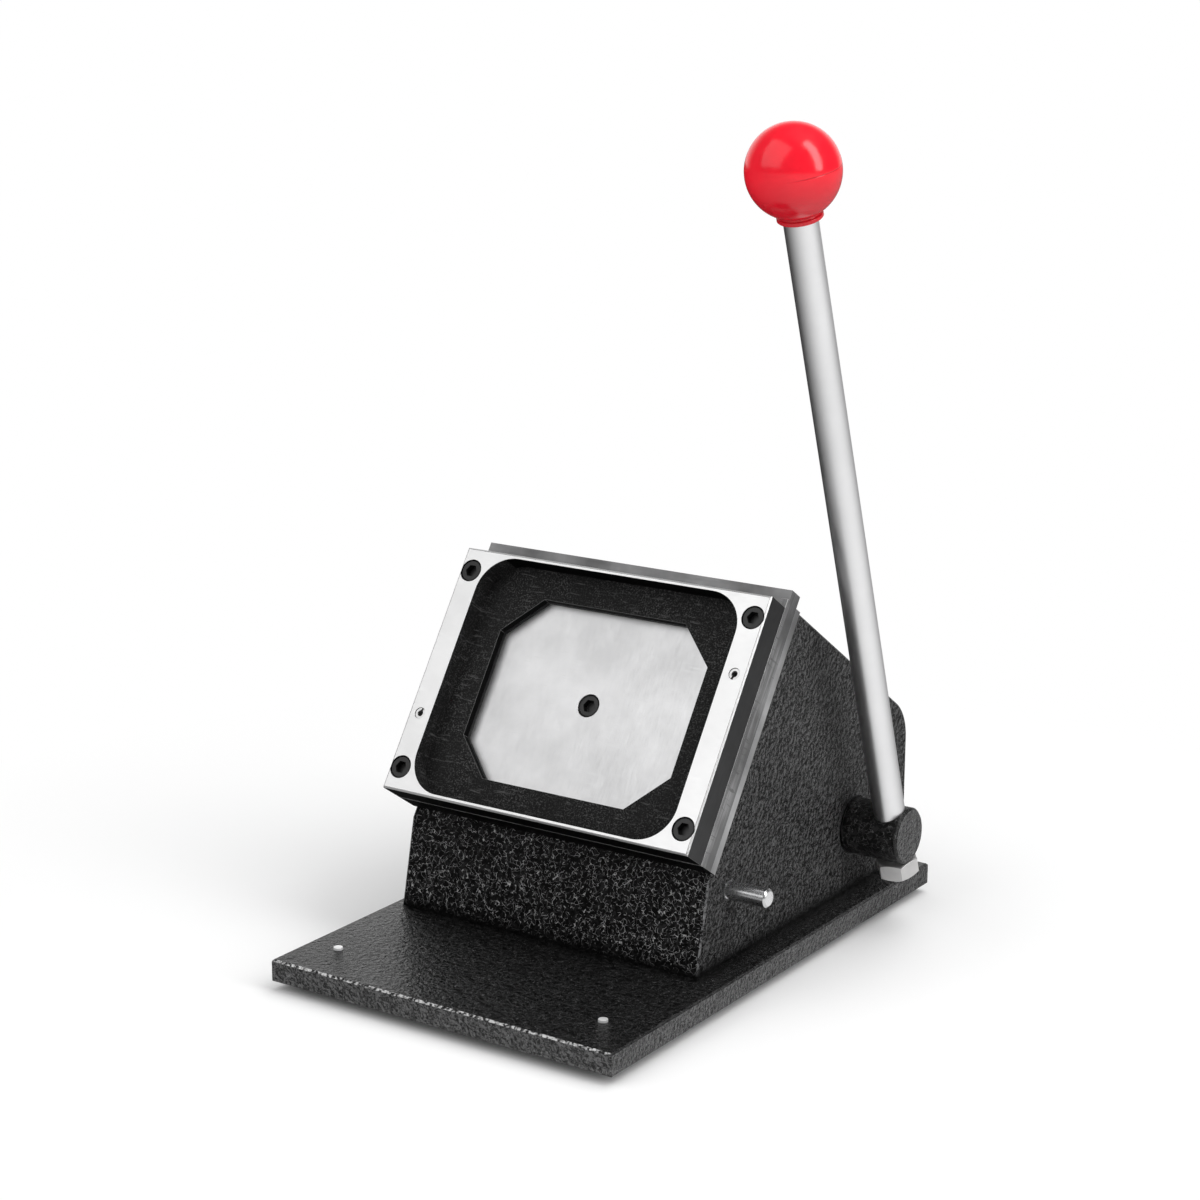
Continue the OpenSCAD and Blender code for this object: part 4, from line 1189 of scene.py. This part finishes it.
@dataclass
class Studio:
    """Camera, lamps, world and floor."""

    yaw: float = 34.2087
    pitch: float = 14.2375
    roll: float = -0.1096
    lens: float = 80.5
    at: Point = (0.6003929, -0.9143777, 0.4316366)
    floor_size: float = 30.0
    fade: tuple[float, float] = (0.15, 0.42)
    hub_foot: Point = (0.0785, 0.0821, 0.0)
    bright_way: Point = (0.94, -0.342, 0.0)
    daylight: float = 0.4
    room: float = 0.11

    def build(self) -> None:
        """Builds the whole studio."""
        self.build_camera()
        self.build_world()
        self.build_floor()
        for lamp in (
            Softbox("left_sheet", (-0.63, -1.37, 1.5), 2.0, 2.1, 16.0),
            Softbox("right_sheet", (1.6, 0.07, 1.4), 0.65, 2.3, 24.0),
            Softbox("top_sheet", (0.2, 0.7, 2.2), 1.6, 1.6, 18.0, mirrored=False),
        ):
            lamp.build()

    def build_camera(self) -> None:
        """Places the camera where the photograph was taken from."""
        yaw, pitch, roll = map(math.radians, (self.yaw, self.pitch, self.roll))
        right = Vector((math.cos(yaw), math.sin(yaw), 0.0))
        level = Vector((-math.sin(yaw), math.cos(yaw), 0.0))
        ahead = level * math.cos(pitch) - Vector((0.0, 0.0, math.sin(pitch)))
        down = ahead.cross(right)
        c, s = math.cos(roll), math.sin(roll)
        right, down = right * c + down * s, down * c - right * s
        data = bpy.data.cameras.new("photo_camera")
        data.lens = self.lens
        data.sensor_width = 36.0
        data.clip_start, data.clip_end = 0.05, 50.0
        camera = bpy.data.objects.new("photo_camera", data)
        axes = Matrix((right, -down, -ahead)).transposed().to_4x4()
        camera.matrix_world = Matrix.Translation(self.at) @ axes
        bpy.context.scene.collection.objects.link(camera)
        bpy.context.scene.camera = camera

    def build_world(self) -> None:
        """Lights the room evenly, white to the camera, and to metal dim except behind the object."""
        world = bpy.data.worlds.new("studio_room")
        tree = Tree.fresh(world)
        yaw = math.radians(self.yaw)
        toward = tree.add("ShaderNodeTexCoord").outputs["Generated"]
        ahead = tree.vector_math("DOT_PRODUCT", toward, (-math.sin(yaw), math.cos(yaw), 0.0))
        height = tree.add("ShaderNodeSeparateXYZ", vector=toward).outputs["Z"]
        low = tree.ranged(height, 0.3, 0.7, 1.0, 0.0)
        behind = tree.math("MULTIPLY", tree.ranged(ahead, 0.55, 0.85), low)
        dim = tree.ranged(behind, 0.0, 1.0, self.room, 1.0)
        rays = tree.add("ShaderNodeLightPath").outputs
        plain = tree.math("MAXIMUM", rays["Is Camera Ray"], rays["Is Transmission Ray"])
        indoors = tree.blend(rays["Is Glossy Ray"], self.daylight, dim, colours=False)
        strength = tree.blend(plain, indoors, 1.0, colours=False)
        light = tree.add("ShaderNodeBackground", color=grey(1.0), strength=strength)
        tree.add("ShaderNodeOutputWorld", surface=light.outputs[0])
        bpy.context.scene.world = world

    def build_floor(self) -> None:
        """Lays a plain pale floor with the object's soft shadow, which fades into the background."""
        work = bmesh.new()
        bmesh.ops.create_grid(work, x_segments=1, y_segments=1, size=self.floor_size / 2)
        mesh = bpy.data.meshes.new("studio_floor")
        work.to_mesh(mesh)
        work.free()
        floor = bpy.data.objects.new("studio_floor", mesh)
        material = bpy.data.materials.new("pale_floor")
        tree = Tree.fresh(material)
        matte = tree.add("ShaderNodeBsdfDiffuse", color=grey(0.92))
        where = tree.add("ShaderNodeTexCoord").outputs["Object"]
        aside = tree.vector_math("NORMALIZE", tree.vector_math("SUBTRACT", where, self.hub_foot))
        across = tree.vector_math("DOT_PRODUCT", aside, self.bright_way)
        bright_side = tree.ranged(across, -1.0, 1.0, 0.02, 1.0)
        rays = tree.add("ShaderNodeLightPath").outputs
        seen, mirrored = rays["Is Camera Ray"], rays["Is Glossy Ray"]
        strength = tree.math("ADD", seen, tree.math("MULTIPLY", mirrored, bright_side))
        white = tree.add("ShaderNodeEmission", color=grey(1.0), strength=strength)
        far = tree.math("MULTIPLY", tree.ranged(tree.vector_math("LENGTH", where), *self.fade), seen)
        mix = tree.add("ShaderNodeMixShader")
        tree.feed(mix.inputs, (tree.math("MAXIMUM", far, mirrored), matte.outputs[0], white.outputs[0]))
        tree.add("ShaderNodeOutputMaterial", surface=mix.outputs[0])
        mesh.materials.append(material)
        bpy.context.scene.collection.objects.link(floor)


def main() -> None:
    """Builds the studio and the press, in order."""
    logging.basicConfig(level=logging.INFO, format="%(message)s")
    scene = bpy.context.scene
    scene.view_settings.view_transform = "Standard"
    Studio().build()
    Stand().build()
    DieStack().build()
    RamDrive().build()
    CamShaft().build()
    Lever().build()


if __name__ == "__main__":
    main()
